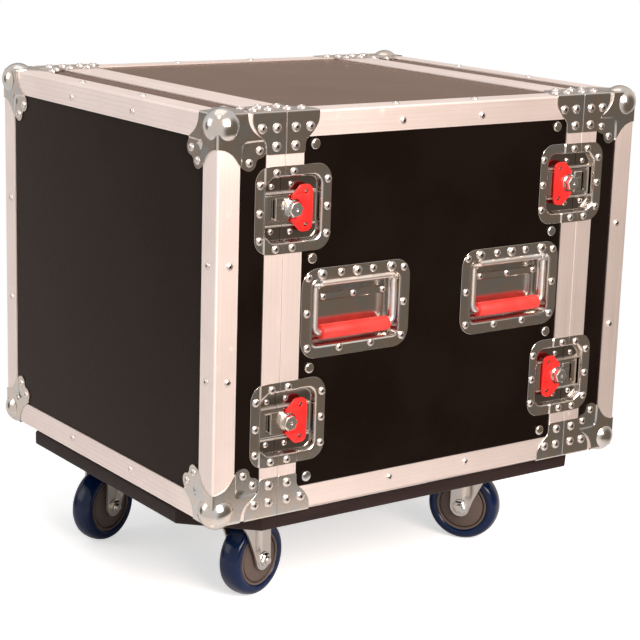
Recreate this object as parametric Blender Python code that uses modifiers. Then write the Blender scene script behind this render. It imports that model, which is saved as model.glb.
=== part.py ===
"""Amp rack case: a laminated plywood flight case on casters, with a lift-off lid at each end.

The origin is on the floor under the middle of the case. +X is the right side, -Y is the front, +Z is up.
"""

import math

import bmesh
import bpy
from mathutils import Matrix, Vector

MM = 0.001

# Case, as high as its ten rack units and what closes it above and below them
RACK_UNIT = 44.45 * MM
RACK_UNITS = 10
RAIL_END_INSET = 17.75 * MM
CASE_WIDTH = 532 * MM
CASE_DEPTH = 640 * MM
CASE_HEIGHT = RACK_UNITS * RACK_UNIT + 2 * RAIL_END_INSET
LID_DEPTH = 91 * MM
SEAM_GAP = 0.4 * MM
FIT = 0.3 * MM
PANEL_THICKNESS = 9 * MM

# Aluminium extrusions and the steel plating riveted onto them
ANGLE_LEG = 30 * MM
ANGLE_WALL = 1.5 * MM
EDGE_RADIUS = 3 * MM
CLOSURE_LEG = 26.5 * MM
CLOSURE_WALL = 2 * MM
CLOSURE_INNER_LEG = 14 * MM
TONGUE_LENGTH = 4 * MM
TONGUE_INSET = 5.3 * MM
GROOVE_CLEARANCE = 0.7 * MM
PLATE_WALL = 1.2 * MM
PLATE_SUNK = 0.2 * MM
PLATE_SHY = 0.15 * MM

# Seam braces
BRACE_LENGTH = 46 * MM
BRACE_NECK = 27 * MM
BRACE_REACH = 49 * MM
BRACE_END_DROP = 8 * MM
BRACE_WAIST_ALONG = 40 * MM
BRACE_WAIST_DROP = 23 * MM
BRACE_NECK_DROP = 33 * MM

# Ball corners
BALL_RADIUS = 21.3 * MM
BALL_CENTRE_INSET = 14 * MM
CORNER_CLIP = 6 * MM
CORNER_CORE_CLEARANCE = 0.1 * MM
CORNER_ARM = 38.5 * MM
CORNER_ARM_DROP = 10 * MM
CORNER_SHOULDER_ALONG = 49 * MM
CORNER_SHOULDER_ACROSS = 27 * MM
LOBE_RADIUS = 9.5 * MM
LOBE_ALONG = 56 * MM
LOBE_ACROSS = 42 * MM

# Latches
LATCH_FROM_END = 112.5 * MM
SPINDLE_FROM_SEAM = 14 * MM
LATCH_FLANGE_BODY = 52 * MM
LATCH_FLANGE_LID = 53.5 * MM
LATCH_FLANGE_HALF_HEIGHT = 51 * MM
LATCH_FLANGE_RADIUS = 20 * MM
LATCH_OPENING_BODY = 38 * MM
LATCH_OPENING_LID = 39 * MM
LATCH_OPENING_HALF_HEIGHT = 38 * MM
LATCH_OPENING_RADIUS = 12 * MM
LATCH_DEPTH = 8.8 * MM
HOOK_HALF_WIDTH = 17.5 * MM
HOOK_THICKNESS = 2 * MM
HOOK_TO_LID = 38 * MM
HOOK_TO_BODY = 33 * MM
HOOK_STROKE = 7 * MM
HOOK_SLOT_NEAR = 26 * MM
HOOK_SLOT_FAR = 33 * MM
HOOK_SLOT_HALF_WIDTH = 12 * MM
HOOK_ABOVE_KEEPER = 0.3 * MM
KEEPER_HEIGHT = 1 * MM
GUIDE_WIDTH = 2.5 * MM
GUIDE_ABOVE_HOOK = 1.1 * MM
SHAFT_RADIUS = 4 * MM
SHAFT_CLEARANCE = 0.4 * MM
CAM_RADIUS = 10.5 * MM
CAM_THICKNESS = 2.2 * MM
HEX_ACROSS_FLATS = 15 * MM
HEX_PROUD = 3 * MM
WING_THICKNESS = 2.5 * MM
WING_REACH = 27.5 * MM
WING_HALF_WIDTH = 27.5 * MM
WING_CORNER_RADIUS = 8.5 * MM
WING_NOTCH_RADIUS = 12.5 * MM
WING_HOLE_RADIUS = 2.8 * MM
WING_HOLE_INSET = 2 * MM
WING_LOBE_WIDENING = 3 * MM
WING_HORN_ROOT = 6.5 * MM
WING_HORN_STEP = 2 * MM
WING_AXIS_ABOVE_CAM = 0.5 * MM
WING_PIN_RADIUS = 1.2 * MM
WING_PIN_CLEARANCE = 0.4 * MM
WING_BARREL_RADIUS = 2.6 * MM
WING_BARREL_START = 11.2 * MM
WING_BARREL_LENGTH = 4.6 * MM

# Handles
HANDLE_FLANGE_FROM_SEAM = 28 * MM
HANDLE_FLANGE_LENGTH = 160 * MM
HANDLE_FLANGE_HEIGHT = 108.5 * MM
HANDLE_FLANGE_RADIUS = 22 * MM
HANDLE_OPENING_LENGTH = 127 * MM
HANDLE_OPENING_HEIGHT = 76 * MM
HANDLE_OPENING_RADIUS = 7 * MM
HANDLE_DEPTH = 18 * MM
BAIL_WIRE_RADIUS = 4 * MM
BAIL_SIDE_CLEARANCE = 1.5 * MM
BAIL_TOP_CLEARANCE = 1.5 * MM
GRIP_BOTTOM_CLEARANCE = 5 * MM
BAIL_AXIS_DEPTH = 4 * MM
BAIL_BEND_RADIUS = 7 * MM
BAIL_PIN_RADIUS = 2 * MM
GRIP_RADIUS = 9 * MM
GRIP_END_CLEARANCE = 3 * MM

# Rack rails
RACK_OPENING = 450 * MM
RAIL_FROM_SEAM = 29 * MM
RAIL_WALL = 2 * MM
RAIL_DEPTH = 22 * MM
RAIL_BEND = 2.4 * MM
RAIL_NOTCH_CLEARANCE = 4 * MM
RAIL_BOLT_FROM_RAIL = 13 * MM
RAIL_BOLT_HEAD_RADIUS = 6.75 * MM
RAIL_BOLT_CROWN_RADIUS = 3.4 * MM
RAIL_BOLT_HEAD_HEIGHT = 3.4 * MM
RAIL_BOLT_RADIUS = 3 * MM
RAIL_BOLT_HOLE_CLEARANCE = 0.5 * MM
RAIL_BOLTS_FROM_BASE = (41 * MM, 175 * MM)
RAIL_BOLTS_FROM_TOP = (173 * MM, 39 * MM)

# Caster board and casters
BOARD_THICKNESS = 19.5 * MM
BOARD_SIDE_INSET = 8 * MM
BOARD_END_INSET = 1 * MM
BOARD_CHAMFER = 75 * MM
CASTER_HEIGHT = 133 * MM
CASTER_FROM_BOARD_SIDE = 111.5 * MM
CASTER_FROM_BOARD_END = 109 * MM
TOP_PLATE_LENGTH = 102 * MM
TOP_PLATE_WIDTH = 84 * MM
TOP_PLATE_THICKNESS = 3 * MM
TOP_PLATE_RADIUS = 8 * MM
RACE_RADIUS = 31 * MM
RACE_HEIGHT = 7.5 * MM
RACE_TAPER = 3 * MM
KINGPIN_RADIUS = 6 * MM
KINGPIN_HEAD_RADIUS = 10 * MM
KINGPIN_HEAD_HEIGHT = 3 * MM
CROWN_HEIGHT = 9 * MM
CROWN_SHEET = 3 * MM
RUNNING_CLEARANCE = 0.4 * MM
TRAIL = 34.4 * MM
LEG_WALL = 3 * MM
LEG_END_RADIUS = 14 * MM
LEG_REAR = 26 * MM
LEG_FRONT = 31 * MM
LEG_REAR_DROP = 13 * MM
LEG_FRONT_DROP = 14 * MM
# Where the rounded end of a leg meets its straight edges, in degrees from the trailing direction
LEG_END_START_ANGLE = 215
LEG_END_FINISH_ANGLE = 370
AXLE_RADIUS = 5 * MM
AXLE_NUT_RADIUS = 9 * MM
AXLE_NUT_HEIGHT = 6 * MM
AXLE_END_PAST_NUT = 2.5 * MM
WHEEL_RADIUS = 50 * MM
WHEEL_WIDTH = 31.4 * MM
WHEEL_SHOULDER = 5.5 * MM
WHEEL_FLAT = 10 * MM
HUB_BOSS_RADIUS = 11 * MM
HUB_BOSS_PROUD = 2 * MM
WHEEL_SIDES = 20
# Direction in which each wheel trails behind its swivel axis, in degrees from +X
TRAIL_ANGLES = {
    "front_right": 108,
    "front_left": -70,
    "rear_right": -147.5,
    "rear_left": -60,
}

# Places worked out from the sizes above
HALF_WIDTH = CASE_WIDTH / 2
HALF_DEPTH = CASE_DEPTH / 2
SEAM_FROM_MIDDLE = HALF_DEPTH - LID_DEPTH
HANDLE_FROM_MIDDLE = SEAM_FROM_MIDDLE - HANDLE_FLANGE_FROM_SEAM - HANDLE_FLANGE_LENGTH / 2
RAIL_FROM_MIDDLE = SEAM_FROM_MIDDLE - RAIL_FROM_SEAM
RAIL_BOLT_FROM_MIDDLE = RAIL_FROM_MIDDLE - RAIL_BOLT_FROM_RAIL
CASTER_SPAN_X = HALF_WIDTH - BOARD_SIDE_INSET - CASTER_FROM_BOARD_SIDE
CASTER_SPAN_Y = HALF_DEPTH - BOARD_END_INSET - CASTER_FROM_BOARD_END
RAIL_BOLT_HEIGHTS = RAIL_BOLTS_FROM_BASE + tuple(CASE_HEIGHT - drop for drop in RAIL_BOLTS_FROM_TOP)
PANEL_INSET = ANGLE_WALL + FIT
PANEL_INNER_INSET = PANEL_INSET + PANEL_THICKNESS
INNER_LEG_INSET = PANEL_INNER_INSET + FIT
INSIDE_INSET = INNER_LEG_INSET + CLOSURE_WALL
BODY_END = SEAM_FROM_MIDDLE - SEAM_GAP / 2
LID_END = SEAM_FROM_MIDDLE + SEAM_GAP / 2
TONGUE_END = BODY_END + TONGUE_LENGTH
GROOVE_END = TONGUE_END + GROOVE_CLEARANCE
BODY_PANEL_END = BODY_END - CLOSURE_WALL - FIT
TRAY_END = GROOVE_END + CLOSURE_WALL + FIT
CLOSURE_START = SEAM_FROM_MIDDLE - CLOSURE_LEG
CLOSURE_FINISH = SEAM_FROM_MIDDLE + CLOSURE_LEG
BOARD_GAP = PLATE_WALL + FIT
CASE_BASE = CASTER_HEIGHT + BOARD_THICKNESS + BOARD_GAP
CASE_TOP = CASE_BASE + CASE_HEIGHT
CASE_MIDDLE = CASE_BASE + CASE_HEIGHT / 2
OVERSHOOT = 10 * MM

# Heights on a latch, measured from the face of the case
LATCH_FLOOR = -LATCH_DEPTH
KEEPER_TOP = LATCH_FLOOR + KEEPER_HEIGHT
HOOK_LOW = KEEPER_TOP + HOOK_ABOVE_KEEPER
HOOK_HIGH = HOOK_LOW + HOOK_THICKNESS
CAM_LOW = HOOK_HIGH + FIT
CAM_HIGH = CAM_LOW + CAM_THICKNESS
WING_AXIS = CAM_HIGH + WING_AXIS_ABOVE_CAM
PIN_END = WING_BARREL_START + WING_BARREL_LENGTH - FIT

# Handle heights and widths, measured from the middle of the dish
BAIL_AXIS_HEIGHT = HANDLE_OPENING_HEIGHT / 2 - BAIL_WIRE_RADIUS - BAIL_TOP_CLEARANCE
BAIL_HALF_LENGTH = HANDLE_OPENING_LENGTH / 2 - BAIL_SIDE_CLEARANCE - BAIL_WIRE_RADIUS
GRIP_DROP = HANDLE_OPENING_HEIGHT / 2 - GRIP_BOTTOM_CLEARANCE - GRIP_RADIUS
BAIL_ARM_LENGTH = BAIL_AXIS_HEIGHT + GRIP_DROP

# Caster heights above the floor
BOARD_UNDERSIDE = CASTER_HEIGHT
TOP_PLATE_LOW = BOARD_UNDERSIDE - FIT - TOP_PLATE_THICKNESS
RACE_LOW = TOP_PLATE_LOW - RACE_HEIGHT
CROWN_HIGH = RACE_LOW - RUNNING_CLEARANCE
CROWN_LOW = CROWN_HIGH - CROWN_HEIGHT
KINGPIN_HEAD_HIGH = CROWN_LOW - RUNNING_CLEARANCE
LEG_INNER = WHEEL_WIDTH / 2 + HUB_BOSS_PROUD + RUNNING_CLEARANCE
LEG_OUTER = LEG_INNER + LEG_WALL
AXLE_END = LEG_OUTER + AXLE_NUT_HEIGHT + AXLE_END_PAST_NUT

SIDES = {"right": 1, "left": -1}
ENDS = {"front": -1, "rear": 1}
LEVELS = {"lower": CASE_BASE + LATCH_FROM_END, "upper": CASE_TOP - LATCH_FROM_END}


def clear_scene():
    for obj in list(bpy.data.objects):
        bpy.data.objects.remove(obj)


def new_collection(name, hidden):
    collection = bpy.data.collections.new(name)
    collection.hide_render = hidden
    bpy.context.scene.collection.children.link(collection)
    return collection


clear_scene()
PARTS = new_collection("amp_rack_case", False)
WORKBENCH = new_collection("workbench", True)


def make_material(name, colour, roughness, metallic):
    material = bpy.data.materials.new(name)
    material.use_nodes = True
    shader = material.node_tree.nodes["Principled BSDF"]
    shader.inputs["Base Color"].default_value = (*colour, 1)
    shader.inputs["Roughness"].default_value = roughness
    shader.inputs["Metallic"].default_value = metallic
    return material


LAMINATE = make_material("black_laminate", (0.022, 0.018, 0.016), 0.45, 0)
ALUMINIUM = make_material("extruded_aluminium", (0.80, 0.79, 0.78), 0.35, 1)
ZINC = make_material("bright_zinc", (0.62, 0.58, 0.55), 0.25, 1)
STEEL = make_material("rack_rail_steel", (0.10, 0.10, 0.10), 0.4, 1)
BOARD = make_material("stained_plywood", (0.030, 0.018, 0.016), 0.6, 0)
RED = make_material("red_grip_and_wing", (0.80, 0.03, 0.02), 0.5, 0)
TYRE = make_material("blue_wheel", (0.012, 0.045, 0.16), 0.45, 0)


def bench_object(mesh):
    obj = bpy.data.objects.new(mesh.name, mesh)
    obj.hide_render = True
    obj.display_type = "WIRE"
    WORKBENCH.objects.link(obj)
    return obj


def solid_from(working_mesh):
    """A workbench object from a bmesh, its faces turned outward."""
    bmesh.ops.recalc_face_normals(working_mesh, faces=working_mesh.faces)
    mesh = bpy.data.meshes.new("solid")
    working_mesh.to_mesh(mesh)
    working_mesh.free()
    return bench_object(mesh)


def box(low, high, rounded_along=(), radius=0.0, clip=0.0, clip_where=None):
    """A box between two corners. Edges along the named axes can be rounded and corners clipped."""
    working = bmesh.new()
    bmesh.ops.create_cube(working, size=1)
    low, high = Vector(low), Vector(high)
    for vertex in working.verts:
        vertex.co = [low[i] + (vertex.co[i] + 0.5) * (high[i] - low[i]) for i in range(3)]
    if radius:
        edges = [edge for edge in working.edges if rounded_along(edge)]
        bmesh.ops.bevel(working, geom=edges, offset=radius, segments=2, profile=0.5, affect="EDGES")
    if clip:
        corners = [vertex for vertex in working.verts if clip_where(vertex.co)]
        bmesh.ops.bevel(working, geom=corners, offset=clip, segments=1, affect="VERTICES")
    return solid_from(working)


def cylinder(radius, low, high, sides=16, centre=(0, 0), top_radius=None):
    """A cylinder or cone along Z between two heights."""
    working = bmesh.new()
    end_radius = radius if top_radius is None else top_radius
    bmesh.ops.create_cone(
        working, cap_ends=True, segments=sides, radius1=radius, radius2=end_radius, depth=high - low
    )
    bmesh.ops.translate(working, verts=working.verts, vec=(*centre, (low + high) / 2))
    return solid_from(working)


def sphere(radius, centre, around, along):
    working = bmesh.new()
    bmesh.ops.create_uvsphere(working, u_segments=around, v_segments=along, radius=radius)
    bmesh.ops.translate(working, verts=working.verts, vec=centre)
    return solid_from(working)


def mesh_of_curve(curve):
    """The curve as a closed mesh, its caps welded on."""
    guide = bpy.data.objects.new("guide", curve)
    WORKBENCH.objects.link(guide)
    bpy.context.view_layer.update()
    graph = bpy.context.evaluated_depsgraph_get()
    mesh = bpy.data.meshes.new_from_object(guide.evaluated_get(graph))
    bpy.data.objects.remove(guide)
    working = bmesh.new()
    working.from_mesh(mesh)
    bmesh.ops.remove_doubles(working, verts=working.verts, dist=0.000001)
    return working


def prism(outlines, low, high):
    """Outlines in the XY plane, the first one filled and the rest left as holes, between two heights."""
    curve = bpy.data.curves.new("outline", "CURVE")
    curve.dimensions = "2D"
    curve.fill_mode = "BOTH"
    curve.extrude = (high - low) / 2
    for outline in outlines:
        spline = curve.splines.new("POLY")
        spline.points.add(len(outline) - 1)
        for point, (x, y) in zip(spline.points, outline):
            point.co = (x, y, 0, 1)
        spline.use_cyclic_u = True
    working = mesh_of_curve(curve)
    bmesh.ops.translate(working, verts=working.verts, vec=(0, 0, (low + high) / 2))
    return solid_from(working)


def wire(points, radius):
    """A round wire through the points, with capped ends."""
    curve = bpy.data.curves.new("wire", "CURVE")
    curve.dimensions = "3D"
    curve.bevel_depth = radius
    curve.bevel_resolution = 1
    curve.use_fill_caps = True
    spline = curve.splines.new("POLY")
    spline.points.add(len(points) - 1)
    for point, place in zip(spline.points, points):
        point.co = (*place, 1)
    return solid_from(mesh_of_curve(curve))


def arc(centre, radius, start, finish, steps):
    """Points along an arc, with angles in degrees."""
    angles = [math.radians(start + (finish - start) * i / steps) for i in range(steps + 1)]
    return [(centre[0] + radius * math.cos(a), centre[1] + radius * math.sin(a)) for a in angles]


def rounded_rectangle(left, right, low, high, radius, steps=3):
    return (
        arc((right - radius, low + radius), radius, -90, 0, steps)
        + arc((right - radius, high - radius), radius, 0, 90, steps)
        + arc((left + radius, high - radius), radius, 90, 180, steps)
        + arc((left + radius, low + radius), radius, 180, 270, steps)
    )


def combine(target, others, operation):
    """Joins, cuts or trims the target with the others, which are used up."""
    for other in others:
        modifier = target.modifiers.new(operation.lower(), "BOOLEAN")
        modifier.operation = operation
        modifier.solver = "EXACT"
        modifier.object = other
    bpy.context.view_layer.update()
    graph = bpy.context.evaluated_depsgraph_get()
    made = bpy.data.meshes.new_from_object(target.evaluated_get(graph))
    target.modifiers.clear()
    target.data = made
    for other in others:
        bpy.data.objects.remove(other)
    return target


def fuse(target, others):
    return combine(target, others, "UNION")


def cut(target, others):
    return combine(target, others, "DIFFERENCE")


def trim(target, keeper):
    return combine(target, [keeper], "INTERSECT")


def copy_of(solid, matrix=None):
    """A copy on the workbench, moved by the matrix. A mirroring matrix has its faces turned back."""
    mesh = solid.data.copy()
    if matrix is not None:
        mesh.transform(matrix)
        if matrix.determinant() < 0:
            mesh.flip_normals()
    return bench_object(mesh)


def finish(name, solid, material, matrix=None):
    """Makes a part of a workbench solid, with its own origin where the matrix puts it."""
    mesh = solid.data.copy()
    merge_flat_faces(mesh)
    mesh.name = name
    mesh.materials.clear()
    mesh.materials.append(material)
    mesh.shade_smooth()
    mesh.set_sharp_from_angle(angle=math.radians(35))
    part = bpy.data.objects.new(name, mesh)
    if matrix is not None:
        part.matrix_world = matrix
    PARTS.objects.link(part)
    return part


def merge_flat_faces(mesh):
    """Joins neighbouring faces that lie in one plane, which cuts and joins leave in strips."""
    working = bmesh.new()
    working.from_mesh(mesh)
    bmesh.ops.remove_doubles(working, verts=working.verts, dist=0.000002)
    bmesh.ops.dissolve_degenerate(working, edges=working.edges, dist=0.000002)
    bmesh.ops.dissolve_limit(
        working, angle_limit=math.radians(0.05), verts=working.verts, edges=working.edges
    )
    bmesh.ops.triangulate(working, faces=working.faces)
    bmesh.ops.dissolve_degenerate(working, edges=working.edges, dist=0.000002)
    working.to_mesh(mesh)
    working.free()


def discard(*solids):
    for solid in solids:
        bpy.data.objects.remove(solid)


def frame_matrix(origin, along, across, out):
    """A placement whose local X, Y and Z point along, across and out."""
    matrix = Matrix((along, across, out)).transposed().to_4x4()
    matrix.translation = Vector(origin)
    return matrix


def case_box(inset, near, far, **rounding):
    """A box across the case with its sides, top and bottom inset from the outer faces."""
    return box(
        (-HALF_WIDTH + inset, near, CASE_BASE + inset),
        (HALF_WIDTH - inset, far, CASE_TOP - inset),
        **rounding,
    )


def case_ring(outer_inset, inner_inset, near, far):
    """A rectangular ring round the inside of the case, from one inset to another."""
    ring = case_box(outer_inset, near, far)
    return cut(ring, [case_box(inner_inset, near - OVERSHOOT, far + OVERSHOOT)])


def runs_along_y(edge):
    start, end = edge.verts
    return abs(start.co.y - end.co.y) > OVERSHOOT


def latch_matrix(side, end, height):
    """Local X points to the body, Z out of the case, and the origin is on the spindle's axis at the face."""
    toward_body = Vector((0, -end, 0))
    out = Vector((side, 0, 0))
    origin = (side * HALF_WIDTH, end * (SEAM_FROM_MIDDLE - SPINDLE_FROM_SEAM), height)
    return frame_matrix(origin, toward_body, out.cross(toward_body), out)


def handle_matrix(side, end):
    """Local X runs along the face, Y up and Z out, and the origin is the middle of the dish at the face."""
    out = Vector((side, 0, 0))
    along = Vector((0, side, 0))
    origin = (side * HALF_WIDTH, end * HANDLE_FROM_MIDDLE, CASE_MIDDLE)
    return frame_matrix(origin, along, out.cross(along), out)


def caster_matrix(side, end, direction):
    """Local Z is the swivel axis and local X the direction in which the wheel trails."""
    place = Matrix.Translation((side * CASTER_SPAN_X, end * CASTER_SPAN_Y, 0))
    return place @ Matrix.Rotation(math.radians(direction), 4, "Z")


# Latch dish, in latch coordinates
def latch_flange(low, high, left, right, shrink):
    """The flange between two heights, kept between two places along X and shrunk all round."""
    outline = rounded_rectangle(
        -LATCH_FLANGE_LID + shrink,
        LATCH_FLANGE_BODY - shrink,
        -LATCH_FLANGE_HALF_HEIGHT + shrink,
        LATCH_FLANGE_HALF_HEIGHT - shrink,
        LATCH_FLANGE_RADIUS - shrink,
        2,
    )
    reach = LATCH_FLANGE_HALF_HEIGHT + OVERSHOOT
    strip = box((left, -reach, low - OVERSHOOT), (right, reach, high + OVERSHOOT))
    return trim(prism([outline], low, high), strip)


def latch_tub(growth, low):
    """The block that the dish fills in the panels, down to a height and grown by a clearance."""
    pocket = HOOK_TO_LID + HOOK_STROKE + PLATE_WALL + PLATE_WALL
    outline = rounded_rectangle(
        -pocket - growth,
        LATCH_OPENING_BODY + PLATE_WALL + growth,
        -LATCH_OPENING_HALF_HEIGHT - PLATE_WALL - growth,
        LATCH_OPENING_HALF_HEIGHT + PLATE_WALL + growth,
        LATCH_OPENING_RADIUS + PLATE_WALL + growth,
        2,
    )
    return prism([outline], low, -PLATE_WALL + growth)


def latch_hollow():
    """The space inside the dish, with the pocket that the hook slides into under the lid's flange."""
    outline = rounded_rectangle(
        -LATCH_OPENING_LID,
        LATCH_OPENING_BODY,
        -LATCH_OPENING_HALF_HEIGHT,
        LATCH_OPENING_HALF_HEIGHT,
        LATCH_OPENING_RADIUS,
        2,
    )
    hollow = prism([outline], LATCH_FLOOR, OVERSHOOT)
    pocket_half = HOOK_HALF_WIDTH + PLATE_WALL
    pocket_end = HOOK_TO_LID + HOOK_STROKE + PLATE_WALL
    pocket_top = HOOK_HIGH + PLATE_WALL
    pocket = box((-pocket_end, -pocket_half, LATCH_FLOOR), (-HOOK_SLOT_NEAR, pocket_half, pocket_top))
    return fuse(hollow, [pocket])


def latch_dish_blank():
    """Flange and tub in one block, stepped up over the extrusions."""
    step_body = CLOSURE_LEG + PLATE_WALL - SPINDLE_FROM_SEAM
    step_lid = CLOSURE_LEG + PLATE_WALL + SPINDLE_FROM_SEAM
    low_flange = latch_flange(
        -FIT - PLATE_WALL + PLATE_SHY,
        -FIT,
        -LATCH_FLANGE_LID - OVERSHOOT,
        LATCH_FLANGE_BODY + OVERSHOOT,
        0,
    )
    high_flange = latch_flange(-PLATE_WALL / 2, PLATE_WALL, -step_lid, step_body, PLATE_SHY)
    return fuse(low_flange, [high_flange, latch_tub(0, LATCH_FLOOR - PLATE_WALL)])


def half_of(blank, body_half):
    """The part of a latch or brace blank on one side of the seam."""
    seam = -SPINDLE_FROM_SEAM
    reach = LATCH_FLANGE_LID + OVERSHOOT
    if body_half:
        low, high = seam + SEAM_GAP / 2 + PLATE_SHY, reach
    else:
        low, high = -reach, seam - SEAM_GAP / 2 - PLATE_SHY
    return trim(copy_of(blank), box((low, -reach, -reach), (high, reach, reach)))


def tongue_gap():
    """Room in the body's tongue for the lid half of the dish."""
    half = LATCH_OPENING_HALF_HEIGHT + PLATE_WALL + FIT
    seam = -SPINDLE_FROM_SEAM + SEAM_GAP / 2
    low = (seam - OVERSHOOT, -half, LATCH_FLOOR - PLATE_WALL - FIT)
    return box(low, (seam + PLATE_SHY / 2, half, -ANGLE_WALL - FIT))


def latch_guides():
    """Two ridges on the floor that guide the hook."""
    guides = []
    for sign in (-1, 1):
        near = sign * (HOOK_HALF_WIDTH + FIT)
        far = sign * (HOOK_HALF_WIDTH + FIT + GUIDE_WIDTH)
        start = -SPINDLE_FROM_SEAM + SEAM_GAP
        low = (start, min(near, far), LATCH_FLOOR - PLATE_SUNK)
        high = (HOOK_TO_BODY, max(near, far), HOOK_HIGH + GUIDE_ABOVE_HOOK)
        guides.append(box(low, high))
    return guides


def latch_keeper():
    """The low hump on the lid's floor that the hook pulls against."""
    half = HOOK_SLOT_HALF_WIDTH - FIT
    return box((-HOOK_SLOT_FAR, -half, LATCH_FLOOR - PLATE_SUNK), (-HOOK_SLOT_NEAR, half, KEEPER_TOP))


# Moving pieces of a latch, in latch coordinates
def make_hook():
    outline = [
        (-HOOK_TO_LID, -HOOK_HALF_WIDTH),
        (HOOK_TO_BODY, -HOOK_HALF_WIDTH),
        (HOOK_TO_BODY, HOOK_HALF_WIDTH),
        (-HOOK_TO_LID, HOOK_HALF_WIDTH),
    ]
    slot = [
        (-HOOK_SLOT_FAR, -HOOK_SLOT_HALF_WIDTH),
        (-HOOK_SLOT_NEAR, -HOOK_SLOT_HALF_WIDTH),
        (-HOOK_SLOT_NEAR, HOOK_SLOT_HALF_WIDTH),
        (-HOOK_SLOT_FAR, HOOK_SLOT_HALF_WIDTH),
    ]
    slot_radius = SHAFT_RADIUS + SHAFT_CLEARANCE
    shaft_slot = arc((0, 0), slot_radius, 90, 270, 6) + arc((HOOK_STROKE, 0), slot_radius, -90, 90, 6)
    return prism([outline, slot, shaft_slot], HOOK_LOW, HOOK_HIGH)


def make_spindle():
    shaft = cylinder(SHAFT_RADIUS, LATCH_FLOOR + FIT, CAM_LOW + PLATE_SUNK, 8)
    cam = cylinder(CAM_RADIUS, CAM_LOW, CAM_HIGH, 16)
    hex_radius = HEX_ACROSS_FLATS / math.sqrt(3)
    hexagon = cylinder(hex_radius, CAM_HIGH - PLATE_SUNK, HEX_PROUD, 6)
    pins = cylinder(WING_PIN_RADIUS, -PIN_END, PIN_END, 6)
    turn = Matrix.Translation((0, 0, WING_AXIS)) @ Matrix.Rotation(math.radians(90), 4, "X")
    pins.data.transform(turn)
    return fuse(cam, [shaft, hexagon, pins])


def make_wing():
    """The butterfly key, folded flat and pointing to the body."""
    horn = WING_BARREL_RADIUS
    horn_start = WING_BARREL_START
    horn_end = WING_BARREL_START + WING_BARREL_LENGTH
    corner = (WING_REACH - WING_CORNER_RADIUS, WING_HALF_WIDTH - WING_CORNER_RADIUS)
    lobe = WING_CORNER_RADIUS
    shoulder = arc(corner, lobe, 0, 90, 3)
    shoulder += arc((corner[0] - WING_LOBE_WIDENING, corner[1]), lobe, 90, 150, 2)
    horn_points = [(WING_HORN_ROOT, horn_end + WING_HORN_STEP), (horn, horn_end)]
    horn_points += [(-horn, horn_end), (-horn, horn_start)]
    notch_angle = math.degrees(math.asin(horn_start / WING_NOTCH_RADIUS))
    notch = arc((0, 0), WING_NOTCH_RADIUS, notch_angle, 0, 3)
    upper = shoulder + horn_points + notch
    lower = [(x, -y) for x, y in reversed(upper[:-1])]
    hole_x = corner[0] - WING_HOLE_INSET
    holes = [arc((hole_x, sign * corner[1]), WING_HOLE_RADIUS, 0, 300, 5) for sign in (-1, 1)]
    half = WING_THICKNESS / 2
    wing = prism([upper + lower, *holes], WING_AXIS - half, WING_AXIS + half)
    turn = Matrix.Translation((0, 0, WING_AXIS)) @ Matrix.Rotation(math.radians(90), 4, "X")
    barrels = [cylinder(horn, horn_start, horn_end, 6), cylinder(horn, -horn_end, -horn_start, 6)]
    for barrel in barrels:
        barrel.data.transform(turn)
    fuse(wing, barrels)
    bore = cylinder(WING_PIN_RADIUS + WING_PIN_CLEARANCE, -horn_end - MM, horn_end + MM, 6)
    bore.data.transform(turn)
    return cut(wing, [bore])


# Handle, in handle coordinates
def handle_outline(growth, radius):
    """The dish's opening, grown all round, with its corners rounded to the radius."""
    half_length = HANDLE_OPENING_LENGTH / 2 + growth
    half_height = HANDLE_OPENING_HEIGHT / 2 + growth
    return rounded_rectangle(-half_length, half_length, -half_height, half_height, radius, 2)


def handle_tub():
    outline = handle_outline(PLATE_WALL, HANDLE_OPENING_RADIUS + PLATE_WALL)
    return prism([outline], -HANDLE_DEPTH - PLATE_WALL, -PLATE_WALL)


def handle_cutout():
    """The hole in the side panel, with tighter corners that clear the ends of the hinge pins."""
    outline = handle_outline(PLATE_WALL + FIT, HANDLE_OPENING_RADIUS / 2)
    return prism([outline], -HANDLE_DEPTH - OVERSHOOT, OVERSHOOT)


def make_handle_dish():
    half_length, half_height = HANDLE_FLANGE_LENGTH / 2, HANDLE_FLANGE_HEIGHT / 2
    edge = rounded_rectangle(
        -half_length, half_length, -half_height, half_height, HANDLE_FLANGE_RADIUS
    )
    flange = prism([edge], -FIT - PLATE_WALL + PLATE_SHY, -FIT)
    dish = fuse(flange, [handle_tub()])
    hollow = prism([handle_outline(0, HANDLE_OPENING_RADIUS)], -HANDLE_DEPTH, OVERSHOOT)
    reach = HANDLE_OPENING_LENGTH / 2 + PLATE_WALL * 2
    pin_hole = cylinder(BAIL_PIN_RADIUS + RUNNING_CLEARANCE, -reach, reach, 10)
    pin_hole.data.transform(bail_axis_matrix() @ Matrix.Rotation(math.radians(90), 4, "Y"))
    return cut(dish, [hollow, pin_hole])


def bail_axis_matrix():
    return Matrix.Translation((0, BAIL_AXIS_HEIGHT, -BAIL_AXIS_DEPTH))


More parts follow.
